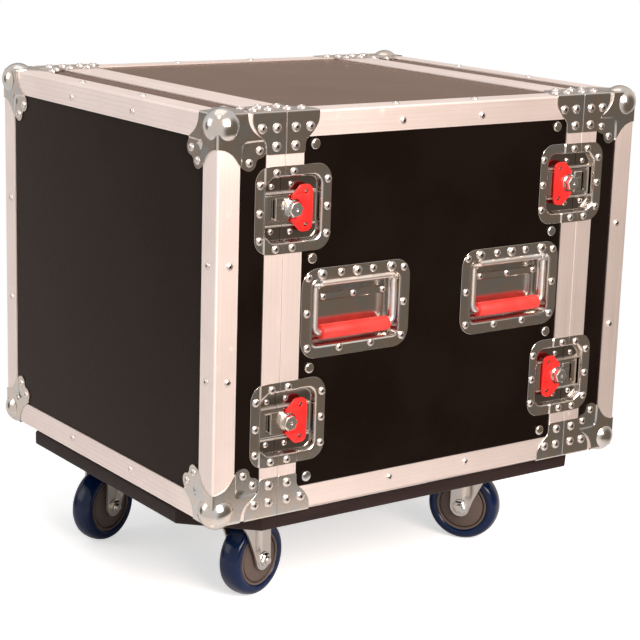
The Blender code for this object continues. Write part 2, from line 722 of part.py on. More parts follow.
def make_bail():
    """The handle bail about its hinge axis, hanging down local -Y."""
    half, drop, bend = BAIL_HALF_LENGTH, BAIL_ARM_LENGTH, BAIL_BEND_RADIUS
    route = [(-half, 0)] + arc((bend - half, bend - drop), bend, 180, 270, 2)
    route += arc((half - bend, bend - drop), bend, 270, 360, 2) + [(half, 0)]
    bail = wire([(x, y, 0) for x, y in route], BAIL_WIRE_RADIUS)
    grip_half = half - BAIL_WIRE_RADIUS - GRIP_END_CLEARANCE
    grip = cylinder(GRIP_RADIUS, -grip_half, grip_half, 12)
    grip.data.transform(
        Matrix.Translation((0, -drop, 0)) @ Matrix.Rotation(math.radians(90), 4, "Y")
    )
    pin_end = HANDLE_OPENING_LENGTH / 2 + PLATE_WALL - FIT
    pins = cylinder(BAIL_PIN_RADIUS, -pin_end, pin_end, 8)
    pins.data.transform(Matrix.Rotation(math.radians(90), 4, "Y"))
    bar_end = half + BAIL_WIRE_RADIUS / 2
    bar = cylinder(BAIL_WIRE_RADIUS, -bar_end, bar_end, 10)
    bar.data.transform(Matrix.Rotation(math.radians(90), 4, "Y"))
    return fuse(bail, [bar, pins, grip])


# Seam brace and ball corner, about the edge or the corner of the case
def brace_half():
    """Local X runs from the seam, Y down one face and Z in along the other. Z below 0 is outside."""
    edge = SEAM_GAP / 2 + PLATE_SHY
    outline = [(edge, -PLATE_WALL), (BRACE_LENGTH, -PLATE_WALL), (BRACE_LENGTH, BRACE_END_DROP)]
    outline += [(BRACE_WAIST_ALONG, BRACE_WAIST_DROP), (BRACE_NECK, BRACE_NECK_DROP)]
    outline += [(BRACE_NECK, BRACE_REACH), (edge, BRACE_REACH)]
    plate = prism([outline], -PLATE_WALL, PLATE_SUNK)
    swap = Matrix(((1, 0, 0), (0, 0, 1), (0, 1, 0))).to_4x4()
    return fuse(plate, [copy_of(plate, swap)])


def corner_plate():
    """One of the three plates of a ball corner, stepped down where it leaves the extrusions."""
    arm = [(CORNER_ARM, -PLATE_WALL), (CORNER_ARM, CORNER_ARM_DROP)]
    arm += [(CORNER_SHOULDER_ALONG, CORNER_SHOULDER_ACROSS)]
    arm += arc((LOBE_ALONG, LOBE_ACROSS), LOBE_RADIUS, -70, 110, 3)
    mirrored = [(y, x) for x, y in reversed(arm)]
    outline = [(-PLATE_WALL, -PLATE_WALL), *arm, *mirrored]
    plate = prism([outline], -PLATE_WALL, FIT + PLATE_WALL - PLATE_SHY)
    far = LOBE_ALONG + LOBE_RADIUS + OVERSHOOT
    edge = ANGLE_LEG + FIT
    step = edge + PLATE_WALL
    recess = box((step, step, -OVERSHOOT), (far, far, FIT))
    under_one = box((-OVERSHOOT, -OVERSHOOT, PLATE_SUNK), (edge, far, OVERSHOOT))
    under_other = box((-OVERSHOOT, -OVERSHOOT, PLATE_SUNK), (far, edge, OVERSHOOT))
    return cut(plate, [recess, under_one, under_other])


def corner_plating():
    """The three plates of a ball corner, with local axes running in along the three edges."""
    plate = corner_plate()
    turn = Matrix(((0, 0, 1), (1, 0, 0), (0, 1, 0))).to_4x4()
    plating = fuse(plate, [copy_of(plate, turn), copy_of(plate, turn @ turn)])
    under_ball = box((-OVERSHOOT,) * 3, (BALL_CENTRE_INSET - 2 * FIT,) * 3)
    return cut(plating, [under_ball])


def corner_ball():
    """The ball, hollowed where the corner of the lid's tray lies inside it."""
    far = LOBE_ALONG + OVERSHOOT
    ball = sphere(BALL_RADIUS, (BALL_CENTRE_INSET,) * 3, 12, 8)
    inside = ANGLE_WALL - CORNER_CORE_CLEARANCE
    core = box((inside,) * 3, (far,) * 3, clip=CORNER_CLIP, clip_where=lambda c: max(c) < far / 2)
    return cut(ball, [core])


def corner_matrix(side, end, top):
    """Axes running in along the three edges of a case corner, in a right-handed order."""
    inward = [Vector((-side, 0, 0)), Vector((0, -end, 0)), Vector((0, 0, -top))]
    if inward[0].cross(inward[1]).dot(inward[2]) < 0:
        inward[0], inward[1] = inward[1], inward[0]
    height = CASE_TOP if top > 0 else CASE_BASE
    return frame_matrix((side * HALF_WIDTH, end * HALF_DEPTH, height), *inward)


def brace_matrix(side, end, top, toward_body):
    """Axes for a half brace: away from the seam, then in along the two faces."""
    away = Vector((0, -end if toward_body else end, 0))
    down, across = Vector((0, 0, -top)), Vector((-side, 0, 0))
    if away.cross(down).dot(across) < 0:
        down, across = across, down
    height = CASE_TOP if top > 0 else CASE_BASE
    return frame_matrix((side * HALF_WIDTH, end * SEAM_FROM_MIDDLE, height), away, down, across)


def closure_windows(near, far):
    """Cutters that leave the angle legs along the long edges, between two places along Y."""
    reach = HALF_WIDTH + OVERSHOOT
    through_sides = box((-reach, near, CASE_BASE + ANGLE_LEG), (reach, far, CASE_TOP - ANGLE_LEG))
    through_top = box(
        (-HALF_WIDTH + ANGLE_LEG, near, CASE_BASE - OVERSHOOT),
        (HALF_WIDTH - ANGLE_LEG, far, CASE_TOP + OVERSHOOT),
    )
    return [through_sides, through_top]


def body_closure(end):
    """The tongue extrusion at one seam of the body: inner leg, web and tongue."""
    near, far = sorted((end * (BODY_END - CLOSURE_INNER_LEG), end * (BODY_END - PLATE_SHY)))
    web_near, web_far = sorted((end * (CLOSURE_START - OVERSHOOT), end * (BODY_END - CLOSURE_WALL)))
    closure = case_ring(ANGLE_WALL - PLATE_SUNK, INSIDE_INSET, near, far)
    cut(closure, [case_ring(-OVERSHOOT, INNER_LEG_INSET, web_near, web_far)])
    near, far = sorted((end * (BODY_END - CLOSURE_WALL / 2), end * TONGUE_END))
    tongue = case_ring(TONGUE_INSET, TONGUE_INSET + CLOSURE_WALL, near, far)
    return fuse(closure, [tongue])


def make_body_frame(dish_blank):
    tube = case_box(0, -BODY_END, BODY_END, rounded_along=runs_along_y, radius=EDGE_RADIUS)
    cut(tube, [case_box(ANGLE_WALL, -BODY_END - OVERSHOOT, BODY_END + OVERSHOOT)])
    cut(tube, closure_windows(-CLOSURE_START, CLOSURE_START))
    fuse(tube, [body_closure(-1), body_closure(1)])
    half_dish = half_of(dish_blank, True)
    brace = brace_half()
    hollow = latch_hollow()
    gap = tongue_gap()
    guides = latch_guides()
    for side in SIDES.values():
        for end in ENDS.values():
            for height in LEVELS.values():
                place = latch_matrix(side, end, height)
                cut(tube, [copy_of(gap, place)])
                fuse(tube, [copy_of(half_dish, place)])
                cut(tube, [copy_of(hollow, place)])
                fuse(tube, [copy_of(guide, place) for guide in guides])
            for top in (-1, 1):
                fuse(tube, [copy_of(brace, brace_matrix(side, end, top, True))])
    discard(half_dish, brace, hollow, gap, *guides)
    return tube


def lid_closure():
    """The groove extrusion of the front lid: inner leg, and a web set back behind the groove."""
    near, far = -LID_END - CLOSURE_INNER_LEG, -LID_END - PLATE_SHY
    closure = case_ring(ANGLE_WALL - PLATE_SUNK, INSIDE_INSET, near, far)
    tray_side = case_ring(-OVERSHOOT, INNER_LEG_INSET, -CLOSURE_FINISH - OVERSHOOT, -TRAY_END + FIT)
    groove = case_ring(-OVERSHOOT, INNER_LEG_INSET, -GROOVE_END, -LID_END + OVERSHOOT)
    return cut(closure, [tray_side, groove])


def make_lid_frame(dish_blank):
    """The front lid's frame."""

    def rounded(edge):
        at_face = all(vertex.co.y < -HALF_DEPTH + OVERSHOOT for vertex in edge.verts)
        return at_face or runs_along_y(edge)

    shell = case_box(0, -HALF_DEPTH, -LID_END, rounded_along=rounded, radius=EDGE_RADIUS)
    cut(shell, [case_box(ANGLE_WALL, -HALF_DEPTH + ANGLE_WALL, -LID_END + OVERSHOOT)])
    face_window = case_box(ANGLE_LEG, -HALF_DEPTH - OVERSHOOT, -HALF_DEPTH + OVERSHOOT)
    cut(shell, [face_window, *closure_windows(-HALF_DEPTH + ANGLE_LEG, -CLOSURE_FINISH)])
    fuse(shell, [lid_closure()])
    half_dish = half_of(dish_blank, False)
    hollow = latch_hollow()
    keeper = latch_keeper()
    brace = brace_half()
    plating, ball = corner_plating(), corner_ball()
    octant = box((-OVERSHOOT,) * 3, (BALL_CENTRE_INSET - FIT,) * 3)
    for side in SIDES.values():
        for height in LEVELS.values():
            place = latch_matrix(side, -1, height)
            fuse(shell, [copy_of(half_dish, place)])
            cut(shell, [copy_of(hollow, place)])
            fuse(shell, [copy_of(keeper, place)])
        for top in (-1, 1):
            fuse(shell, [copy_of(brace, brace_matrix(side, -1, top, False))])
            place = corner_matrix(side, -1, top)
            cut(shell, [copy_of(octant, place)])
            fuse(shell, [copy_of(plating, place), copy_of(ball, place)])
    discard(half_dish, hollow, keeper, brace, plating, ball, octant)
    return shell


def make_lid_tray():
    """The front lid's plywood face and strips."""
    face = -HALF_DEPTH + PANEL_INSET

    def at_face(place):
        return place.y < face + OVERSHOOT

    tray = case_box(PANEL_INSET, face, -TRAY_END, clip=CORNER_CLIP, clip_where=at_face)
    cut(tray, [case_box(PANEL_INNER_INSET, face + PANEL_THICKNESS, -TRAY_END + OVERSHOOT)])
    for side in SIDES.values():
        for height in LEVELS.values():
            cut(tray, [copy_of(LATCH_CUTOUT, latch_matrix(side, -1, height))])
    return tray


def make_side_panel(side):
    inner = side * (HALF_WIDTH - PANEL_INNER_INSET)
    outer = side * (HALF_WIDTH - PANEL_INSET)
    panel = box(
        (min(inner, outer), -BODY_PANEL_END, CASE_BASE + PANEL_INNER_INSET + FIT),
        (max(inner, outer), BODY_PANEL_END, CASE_TOP - PANEL_INNER_INSET - FIT),
    )
    for end in ENDS.values():
        cut(panel, [copy_of(HANDLE_CUTOUT, handle_matrix(side, end))])
        for height in LEVELS.values():
            cut(panel, [copy_of(LATCH_CUTOUT, latch_matrix(side, end, height))])
        for height in RAIL_BOLT_HEIGHTS:
            hole = cylinder(RAIL_BOLT_RADIUS + RAIL_BOLT_HOLE_CLEARANCE, -OVERSHOOT * 2, OVERSHOOT, 8)
            hole.data.transform(rail_bolt_matrix(side, end, height))
            cut(panel, [hole])
    return panel


def make_level_panel(inset_low, inset_high):
    """The top or bottom panel, between two distances above the bottom of the case."""
    half = HALF_WIDTH - PANEL_INSET
    return box(
        (-half, -BODY_PANEL_END, CASE_BASE + inset_low), (half, BODY_PANEL_END, CASE_BASE + inset_high)
    )


def rail_bolt_matrix(side, end, height):
    out = Vector((side, 0, 0))
    along = Vector((0, side, 0))
    origin = (side * HALF_WIDTH, end * RAIL_BOLT_FROM_MIDDLE, CASE_BASE + height)
    return frame_matrix(origin, along, out.cross(along), out)


def make_rail(side, end):
    """An L-shaped rack rail with the bolts that hold it through the side panel."""
    low = CASE_BASE + RAIL_END_INSET
    high = CASE_TOP - RAIL_END_INSET
    wall_outer = side * (HALF_WIDTH - INNER_LEG_INSET)
    wall_inner = side * (HALF_WIDTH - INNER_LEG_INSET - RAIL_WALL)
    face_inner = side * RACK_OPENING / 2
    front = end * RAIL_FROM_MIDDLE
    back = end * (RAIL_FROM_MIDDLE - RAIL_DEPTH)
    face_back = end * (RAIL_FROM_MIDDLE - RAIL_WALL)
    outline = [(face_inner, front), (wall_outer - side * RAIL_BEND, front)]
    outline += [(wall_outer, front - end * RAIL_BEND), (wall_outer, back), (wall_inner, back)]
    outline += [(wall_inner, face_back), (face_inner, face_back)]
    rail = prism([outline], low, high)
    tub_reach = HANDLE_OPENING_HEIGHT / 2 + PLATE_WALL + RAIL_NOTCH_CLEARANCE
    notch_from = end * (HANDLE_FROM_MIDDLE + HANDLE_OPENING_LENGTH / 2 + PLATE_WALL + FIT)
    notch_to = end * (RAIL_FROM_MIDDLE - RAIL_DEPTH - OVERSHOOT)
    notch = box(
        (min(wall_outer, wall_inner) - MM, min(notch_from, notch_to), CASE_MIDDLE - tub_reach),
        (max(wall_outer, wall_inner) + MM, max(notch_from, notch_to), CASE_MIDDLE + tub_reach),
    )
    cut(rail, [notch])
    for height in RAIL_BOLT_HEIGHTS:
        seat = -PANEL_INSET + FIT
        shaft = cylinder(RAIL_BOLT_RADIUS, -INNER_LEG_INSET - RAIL_WALL / 2, seat + MM, 8)
        dome = cylinder(
            RAIL_BOLT_HEAD_RADIUS,
            seat,
            seat + RAIL_BOLT_HEAD_HEIGHT,
            10,
            top_radius=RAIL_BOLT_CROWN_RADIUS,
        )
        bolt = fuse(shaft, [dome])
        bolt.data.transform(rail_bolt_matrix(side, end, height))
        fuse(rail, [bolt])
    return rail


def make_board():
    half_x = HALF_WIDTH - BOARD_SIDE_INSET
    half_y = HALF_DEPTH - BOARD_END_INSET
    corners = []
    for sign_x, sign_y in ((1, -1), (1, 1), (-1, 1), (-1, -1)):
        beside = (sign_x * half_x, sign_y * (half_y - BOARD_CHAMFER))
        before = (sign_x * (half_x - BOARD_CHAMFER), sign_y * half_y)
        corners += [beside, before] if sign_x == sign_y else [before, beside]
    return prism([corners], BOARD_UNDERSIDE, BOARD_UNDERSIDE + BOARD_THICKNESS)


# Caster, about its swivel axis with the wheel trailing along local X
def make_top_plate():
    outline = rounded_rectangle(
        -TOP_PLATE_WIDTH / 2,
        TOP_PLATE_WIDTH / 2,
        -TOP_PLATE_LENGTH / 2,
        TOP_PLATE_LENGTH / 2,
        TOP_PLATE_RADIUS,
        2,
    )
    plate = prism([outline], TOP_PLATE_LOW, TOP_PLATE_LOW + TOP_PLATE_THICKNESS)
    race_high = TOP_PLATE_LOW + MM
    race = cylinder(RACE_RADIUS - RACE_TAPER, RACE_LOW, race_high, 16, top_radius=RACE_RADIUS)
    head_low = KINGPIN_HEAD_HIGH - KINGPIN_HEAD_HEIGHT
    kingpin = cylinder(KINGPIN_RADIUS, head_low + MM, RACE_LOW + MM, 8)
    head = cylinder(KINGPIN_HEAD_RADIUS, head_low, KINGPIN_HEAD_HIGH, 6)
    return fuse(plate, [race, kingpin, head])


def make_fork():
    crown = cylinder(RACE_RADIUS, CROWN_LOW, CROWN_HIGH, 16)
    top = CROWN_HIGH - CROWN_SHEET
    shelf = box((-LEG_REAR, -LEG_OUTER, top - CROWN_SHEET), (LEG_FRONT, LEG_OUTER, top))
    outline = [(-LEG_REAR, top), (-LEG_REAR, CROWN_HIGH - LEG_REAR_DROP)]
    outline += arc((TRAIL, WHEEL_RADIUS), LEG_END_RADIUS, LEG_END_START_ANGLE, LEG_END_FINISH_ANGLE, 4)
    outline += [(LEG_FRONT, top - LEG_FRONT_DROP), (LEG_FRONT, top)]
    legs = []
    stand = Matrix.Rotation(math.radians(90), 4, "X")
    for low in (LEG_INNER, -LEG_OUTER):
        leg = prism([outline], low, low + LEG_WALL)
        leg.data.transform(stand)
        legs.append(leg)
    to_axle = Matrix.Translation((TRAIL, 0, WHEEL_RADIUS)) @ stand
    axle = cylinder(AXLE_RADIUS, -AXLE_END, AXLE_END, 8)
    nuts = [
        cylinder(AXLE_NUT_RADIUS, LEG_OUTER - MM, LEG_OUTER + AXLE_NUT_HEIGHT, 6),
        cylinder(AXLE_NUT_RADIUS, -LEG_OUTER - AXLE_NUT_HEIGHT, -LEG_OUTER + MM, 6),
    ]
    fuse(axle, nuts)
    axle.data.transform(to_axle)
    fork = fuse(crown, [shelf, *legs, axle])
    bore = cylinder(KINGPIN_RADIUS + 2 * RUNNING_CLEARANCE, CROWN_LOW - MM, CROWN_HIGH + MM, 8)
    return cut(fork, [bore])


def make_wheel():
    """Tread and hub turned in one, about local Z, with a flat facet of the tread on the floor."""
    spread = 1 / math.cos(math.pi / WHEEL_SIDES)
    half = WHEEL_WIDTH / 2
    bore = (AXLE_RADIUS + RUNNING_CLEARANCE) * spread
    boss = half + HUB_BOSS_PROUD
    shoulder = WHEEL_RADIUS - WHEEL_SHOULDER
    upper = [
        (bore, boss),
        (HUB_BOSS_RADIUS, boss),
        (shoulder, half),
        (WHEEL_RADIUS - WHEEL_SHOULDER / 3, (half + WHEEL_FLAT / 2) / 2),
        (WHEEL_RADIUS * spread, WHEEL_FLAT / 2),
    ]
    profile = upper + [(x, -z) for x, z in reversed(upper)]
    working = bmesh.new()
    corners = [working.verts.new((x, 0, z)) for x, z in profile]
    for first, second in zip(corners, corners[1:] + corners[:1]):
        working.edges.new((first, second))
    mesh = bpy.data.meshes.new("wheel_profile")
    working.to_mesh(mesh)
    working.free()
    wheel = bench_object(mesh)
    screw = wheel.modifiers.new("turn", "SCREW")
    screw.steps = WHEEL_SIDES
    screw.render_steps = WHEEL_SIDES
    screw.use_merge_vertices = True
    screw.merge_threshold = 0.000001
    bpy.context.view_layer.update()
    graph = bpy.context.evaluated_depsgraph_get()
    wheel.data = bpy.data.meshes.new_from_object(wheel.evaluated_get(graph))
    wheel.modifiers.clear()
    turned = bmesh.new()
    turned.from_mesh(wheel.data)
    discard(wheel)
    half_facet = math.radians(180 / WHEEL_SIDES)
    bmesh.ops.rotate(turned, verts=turned.verts, matrix=Matrix.Rotation(half_facet, 3, "Z"))
    return solid_from(turned)


def build_latches():
    hook, spindle, wing = make_hook(), make_spindle(), make_wing()
    to_hinge = Matrix.Translation((0, 0, WING_AXIS))
    wing.data.transform(to_hinge.inverted())
    for end_name, end in ENDS.items():
        for side_name, side in SIDES.items():
            for level_name, height in LEVELS.items():
                place = latch_matrix(side, end, height)
                where = f"{end_name}_{side_name}_{level_name}"
                finish(f"latch_hook_{where}", hook, ZINC, place)
                finish(f"latch_spindle_{where}", spindle, ZINC, place)
                finish(f"latch_wing_{where}", wing, RED, place @ to_hinge)
    discard(hook, spindle, wing)


def build_handles():
    dish, bail = make_handle_dish(), make_bail()
    for end_name, end in ENDS.items():
        for side_name, side in SIDES.items():
            place = handle_matrix(side, end)
            where = f"{end_name}_{side_name}"
            finish(f"handle_dish_{where}", dish, ZINC, place)
            finish(f"handle_bail_{where}", bail, RED, place @ bail_axis_matrix())
    discard(dish, bail)


def build_casters():
    top_plate, fork, wheel = make_top_plate(), make_fork(), make_wheel()
    for end_name, end in ENDS.items():
        for side_name, side in SIDES.items():
            where = f"{end_name}_{side_name}"
            swivel = caster_matrix(side, end, TRAIL_ANGLES[where])
            axle = Matrix.Translation((TRAIL, 0, WHEEL_RADIUS)) @ Matrix.Rotation(math.radians(90), 4, "X")
            finish(f"caster_plate_{where}", top_plate, ZINC, caster_matrix(side, end, 0))
            finish(f"caster_fork_{where}", fork, ZINC, swivel)
            finish(f"caster_wheel_{where}", wheel, TYRE, swivel @ axle)
    discard(top_plate, fork, wheel)


def build_body():
    for side_name, side in SIDES.items():
        finish(f"side_panel_{side_name}", make_side_panel(side), LAMINATE)
        for end_name, end in ENDS.items():
            finish(f"rack_rail_{end_name}_{side_name}", make_rail(side, end), STEEL)
    finish("bottom_panel", make_level_panel(PANEL_INSET, PANEL_INNER_INSET), LAMINATE)
    top_low, top_high = CASE_HEIGHT - PANEL_INNER_INSET, CASE_HEIGHT - PANEL_INSET
    finish("top_panel", make_level_panel(top_low, top_high), LAMINATE)
    finish("caster_board", make_board(), BOARD)
    finish("body_frame", make_body_frame(DISH_BLANK), ALUMINIUM)


def build_lids():
    """Both lids are alike, and the rear one is turned round."""
    tray, frame = make_lid_tray(), make_lid_frame(DISH_BLANK)
    half_turn = Matrix.Rotation(math.pi, 4, "Z")
    for end_name, turn in (("front", Matrix.Identity(4)), ("rear", half_turn)):
        finish(f"{end_name}_lid_panel", tray, LAMINATE, turn)
        finish(f"{end_name}_lid_frame", frame, ALUMINIUM, turn)
    discard(tray, frame)


DISH_BLANK = latch_dish_blank()
LATCH_CUTOUT = latch_tub(FIT, -PANEL_INNER_INSET - OVERSHOOT)
HANDLE_CUTOUT = handle_cutout()
build_body()
build_lids()
build_latches()
build_handles()
build_casters()
for leftover in list(WORKBENCH.objects):
    bpy.data.objects.remove(leftover)
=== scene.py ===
"""The looks of an amp rack case: a black laminated flight case on casters, closed by a lid at each end.

Lengths are in metres. +X is the case's right side, -Y its front and +Z is up, with the floor at Z = 0.
"""

import math

import bmesh
import bpy
import numpy as np
from mathutils import Matrix, Vector


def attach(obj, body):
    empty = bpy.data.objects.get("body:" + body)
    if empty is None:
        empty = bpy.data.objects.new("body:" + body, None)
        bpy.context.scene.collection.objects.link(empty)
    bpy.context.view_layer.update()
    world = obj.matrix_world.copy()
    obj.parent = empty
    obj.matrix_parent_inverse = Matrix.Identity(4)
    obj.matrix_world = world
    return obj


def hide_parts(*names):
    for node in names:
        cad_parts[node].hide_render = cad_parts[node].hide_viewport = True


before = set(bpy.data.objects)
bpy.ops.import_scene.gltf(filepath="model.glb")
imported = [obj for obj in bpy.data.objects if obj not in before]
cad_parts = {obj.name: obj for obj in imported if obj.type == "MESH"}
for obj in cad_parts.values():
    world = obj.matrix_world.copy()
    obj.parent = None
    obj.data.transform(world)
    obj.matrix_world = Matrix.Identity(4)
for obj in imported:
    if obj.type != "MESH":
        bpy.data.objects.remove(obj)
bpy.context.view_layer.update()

# Camera: stands off the front right of the case and looks slightly down on it through a long lens,
# as the photographer did.
CAMERA_PLACE = (1.949930, -1.389287, 0.886681)
CAMERA_TURN = 0.945608
CAMERA_DROP = 0.236644
CAMERA_ROLL = 0.030433
FOCAL_LENGTH = 102.204
SENSOR_WIDTH = 36
FARTHEST_SEEN = 50


def put(name, data):
    """A new object of the scene, at the origin."""
    made = bpy.data.objects.new(name, data)
    bpy.context.scene.collection.objects.link(made)
    return made


def camera_matrix(place, turn, drop, roll):
    """Turned from +Y towards -X, dropped below the horizon, and then rolled about the line of sight."""
    forward = np.array(
        [-math.sin(turn) * math.cos(drop), math.cos(turn) * math.cos(drop), -math.sin(drop)]
    )
    level = np.array([math.cos(turn), math.sin(turn), 0.0])
    upright = np.cross(level, forward)
    right = level * math.cos(roll) + upright * math.sin(roll)
    up = upright * math.cos(roll) - level * math.sin(roll)
    matrix = Matrix(np.stack([right, up, -forward], axis=1).tolist()).to_4x4()
    matrix.translation = place
    return matrix


camera_data = bpy.data.cameras.new("camera")
camera_data.lens = FOCAL_LENGTH
camera_data.sensor_width = SENSOR_WIDTH
camera_data.sensor_fit = "HORIZONTAL"
camera_data.clip_end = FARTHEST_SEEN
camera = put("camera", camera_data)
camera.matrix_world = camera_matrix(CAMERA_PLACE, CAMERA_TURN, CAMERA_DROP, CAMERA_ROLL)
bpy.context.scene.camera = camera
bpy.context.scene.view_settings.view_transform = "Standard"

# Studio: a warm soft box off the right side, a cooler one off the front, a wide one overhead,
# and a white room with three screens, two dark and one grey, that give the polished metal its contrast.
ROOM_LIGHT = 0.5
WARM = (1.0, 0.86, 0.79)
COOL = (0.95, 0.97, 1.0)
NEUTRAL = (1.0, 0.98, 0.96)
DARK = (0.19, 0.155, 0.125, 1)
GREY = (0.46, 0.42, 0.39, 1)
SCREENS = (
    ((-0.85, 0.51, 0.10), (0.72, 0.93), GREY),
    ((0.78, 0.57, -0.24), (0.42, 0.85), DARK),
    ((-0.745, -0.665, -0.05), (0.958, 0.982), DARK),
)
SEEN_BY = ("Camera", "Glossy", "Transmission")
WALL_COLOUR = (0.86, 0.80, 0.77, 1)
WHITE = (1, 1, 1, 1)
CASE_HEART = 0.4


class Wire:
    """An output of a shader node. Arithmetic on wires adds Math nodes to the same material."""

    def __init__(self, tree, output):
        self.tree = tree
        self.output = output

    def node(self, kind, settings, values, out=0):
        """A new node: its settings are set first, then its sockets' values or links."""
        made = self.tree.nodes.new(kind)
        for setting, value in settings.items():
            if setting == "stops":
                ramp = made.color_ramp.elements
                ramp[0].position, ramp[0].color = value[0]
                ramp[1].position, ramp[1].color = value[-1]
                for position, colour in value[1:-1]:
                    ramp.new(position).color = colour
            else:
                setattr(made, setting, value)
        for socket, value in values.items():
            if isinstance(value, Wire):
                self.tree.links.new(value.output, made.inputs[socket])
            else:
                made.inputs[socket].default_value = value
        return Wire(self.tree, made.outputs[out])

    def maths(self, operation, *values):
        return self.node("ShaderNodeMath", {"operation": operation}, dict(enumerate(values)))

    def __add__(self, other):
        return self.maths("ADD", self, other)

    __radd__ = __add__

    def __mul__(self, other):
        return self.maths("MULTIPLY", self, other)

    __rmul__ = __mul__

    def __sub__(self, other):
        return self.maths("SUBTRACT", self, other)

    def __rsub__(self, other):
        return self.maths("SUBTRACT", other, self)

    def smooth(self, low, high):
        """0 below low, 1 above high, and an eased climb between them."""
        settings = {"interpolation_type": "SMOOTHSTEP"}
        return self.node("ShaderNodeMapRange", settings, {0: self, 1: low, 2: high})

    def mix(self, first, second):
        """The first colour where this wire is 0 and the second where it is 1."""
        return self.node("ShaderNodeMix", {"data_type": "RGBA"}, {0: self, 6: first, 7: second}, 2)

    def stretched(self, scale):
        """The same place with each axis multiplied by its own scale."""
        return self.node("ShaderNodeVectorMath", {"operation": "MULTIPLY"}, {0: self, 1: scale})

    def noise(self, scale, detail=3.0, roughness=0.5):
        values = {"Vector": self, "Scale": scale, "Detail": detail, "Roughness": roughness}
        return self.node("ShaderNodeTexNoise", {}, values)

    def part(self, axis):
        return self.node("ShaderNodeSeparateXYZ", {}, {0: self}, axis)

    def bump(self, strength, depth):
        """A Normal for a surface whose height is this wire, up to a depth in metres."""
        values = {"Strength": strength, "Distance": depth, "Height": self}
        return self.node("ShaderNodeBump", {}, values)


def source(tree, kind, output):
    """A wire from an output of a new node that takes nothing in."""
    return Wire(tree, tree.nodes.new(kind).outputs[output])


def light_the_room():
    """Rays that light the object see a plain grey room. The camera sees white, and so does polished
    metal, except where the screens stand."""
    world = bpy.data.worlds.new("studio")
    bpy.context.scene.world = world
    world.use_nodes = True
    tree = world.node_tree
    rays = [source(tree, "ShaderNodeLightPath", f"Is {kind} Ray") for kind in SEEN_BY]
    toward = source(tree, "ShaderNodeTexCoord", "Generated")
    polished = WALL_COLOUR
    for place, reach, colour in SCREENS:
        near = toward.node("ShaderNodeVectorMath", {"operation": "DOT_PRODUCT"}, {0: toward, 1: place}, 1)
        polished = near.smooth(*reach).mix(polished, colour)
    seen = rays[1].mix(WHITE, polished)
    room = (ROOM_LIGHT, ROOM_LIGHT, ROOM_LIGHT, 1)
    shown = rays[0].maths("MAXIMUM", rays[0], rays[0].maths("MAXIMUM", *rays[1:]))
    tree.links.new(shown.mix(room, seen).output, tree.nodes["Background"].inputs["Color"])


def add_soft_box(name, place, size, power, colour):
    """A square lamp that faces the middle of the case."""
    data = bpy.data.lights.new(name, "AREA")
    data.shape = "SQUARE"
    data.size = size
    data.energy = power
    data.color = colour
    lamp = put(name, data)
    away = Vector(place) - Vector((0, 0, CASE_HEART))
    lamp.matrix_world = Matrix.Translation(place) @ away.to_track_quat("Z", "Y").to_matrix().to_4x4()


light_the_room()
add_soft_box("soft_box_right", place=(2.6, -0.25, 1.65), size=1.6, power=128, colour=WARM)
add_soft_box("soft_box_front", place=(-1.2, -2.8, 1.4), size=1.6, power=13, colour=COOL)
add_soft_box("soft_box_above", place=(-0.4, -0.3, 3.2), size=2.2, power=12, colour=NEUTRAL)

# Floor: a plain pale sheet under the casters, which catches the case's shadow and fades into the white
# room a metre out.
FLOOR_SIZE = 4.0
FLOOR_FADE = (0.42, 0.85)
FLOOR_COLOUR = (0.86, 0.86, 0.86, 1)
FLOOR_GLOW = 0.55


def new_finish(name, **fixed):
    """A material whose named sockets are the same all over, and the place on the object."""
    material = bpy.data.materials.new(name)
    material.use_nodes = True
    tree = material.node_tree
    shader = tree.nodes["Principled BSDF"]
    for socket, value in fixed.items():
        shader.inputs[socket.replace("_", " ")].default_value = value
    return material, source(tree, "ShaderNodeTexCoord", "Object")


def make_floor():
    """A flat square at Z = 0, which is clear where its place is far from the middle."""
    half = FLOOR_SIZE / 2
    mesh = bpy.data.meshes.new("floor")
    corners = [(-half, -half, 0), (half, -half, 0), (half, half, 0), (-half, half, 0)]
    mesh.from_pydata(corners, [], [(0, 1, 2, 3)])
    material, place = new_finish("pale_floor", Base_Color=FLOOR_COLOUR, Roughness=0.9)
    tree = material.node_tree
    plain = Wire(tree, tree.nodes["Principled BSDF"].outputs[0])
    glow = place.node("ShaderNodeEmission", {}, {"Color": WHITE, "Strength": FLOOR_GLOW})
    both = place.node("ShaderNodeAddShader", {}, {0: plain, 1: glow})
    camera_ray = source(tree, "ShaderNodeLightPath", "Is Camera Ray")
    choice = place.node("ShaderNodeMixShader", {}, {0: camera_ray, 1: plain, 2: both})
    distance = place.node("ShaderNodeVectorMath", {"operation": "LENGTH"}, {0: place}, 1)
    clear = place.node("ShaderNodeBsdfTransparent", {}, {})
    sheet = place.node("ShaderNodeMixShader", {}, {0: distance.smooth(*FLOOR_FADE), 1: choice, 2: clear})
    tree.links.new(sheet.output, tree.nodes["Material Output"].inputs["Surface"])
    mesh.materials.append(material)
    put("floor", mesh)


make_floor()

# Panels: nine millimetre plywood faced with black phenolic laminate, which is smooth, faintly mottled
# and takes a soft sheen at a glance. They slide into the aluminium edging.
PANELS = (
    "side_panel_right", "side_panel_left", "top_panel", "bottom_panel", "front_lid_panel", "rear_lid_panel",
)


def feed(material, **wires):
    """The material, with a wire led to each named socket of its shader."""
    shader = material.node_tree.nodes["Principled BSDF"]
    for socket, wire in wires.items():
        wire.tree.links.new(wire.output, shader.inputs[socket.replace("_", " ")])
    return material


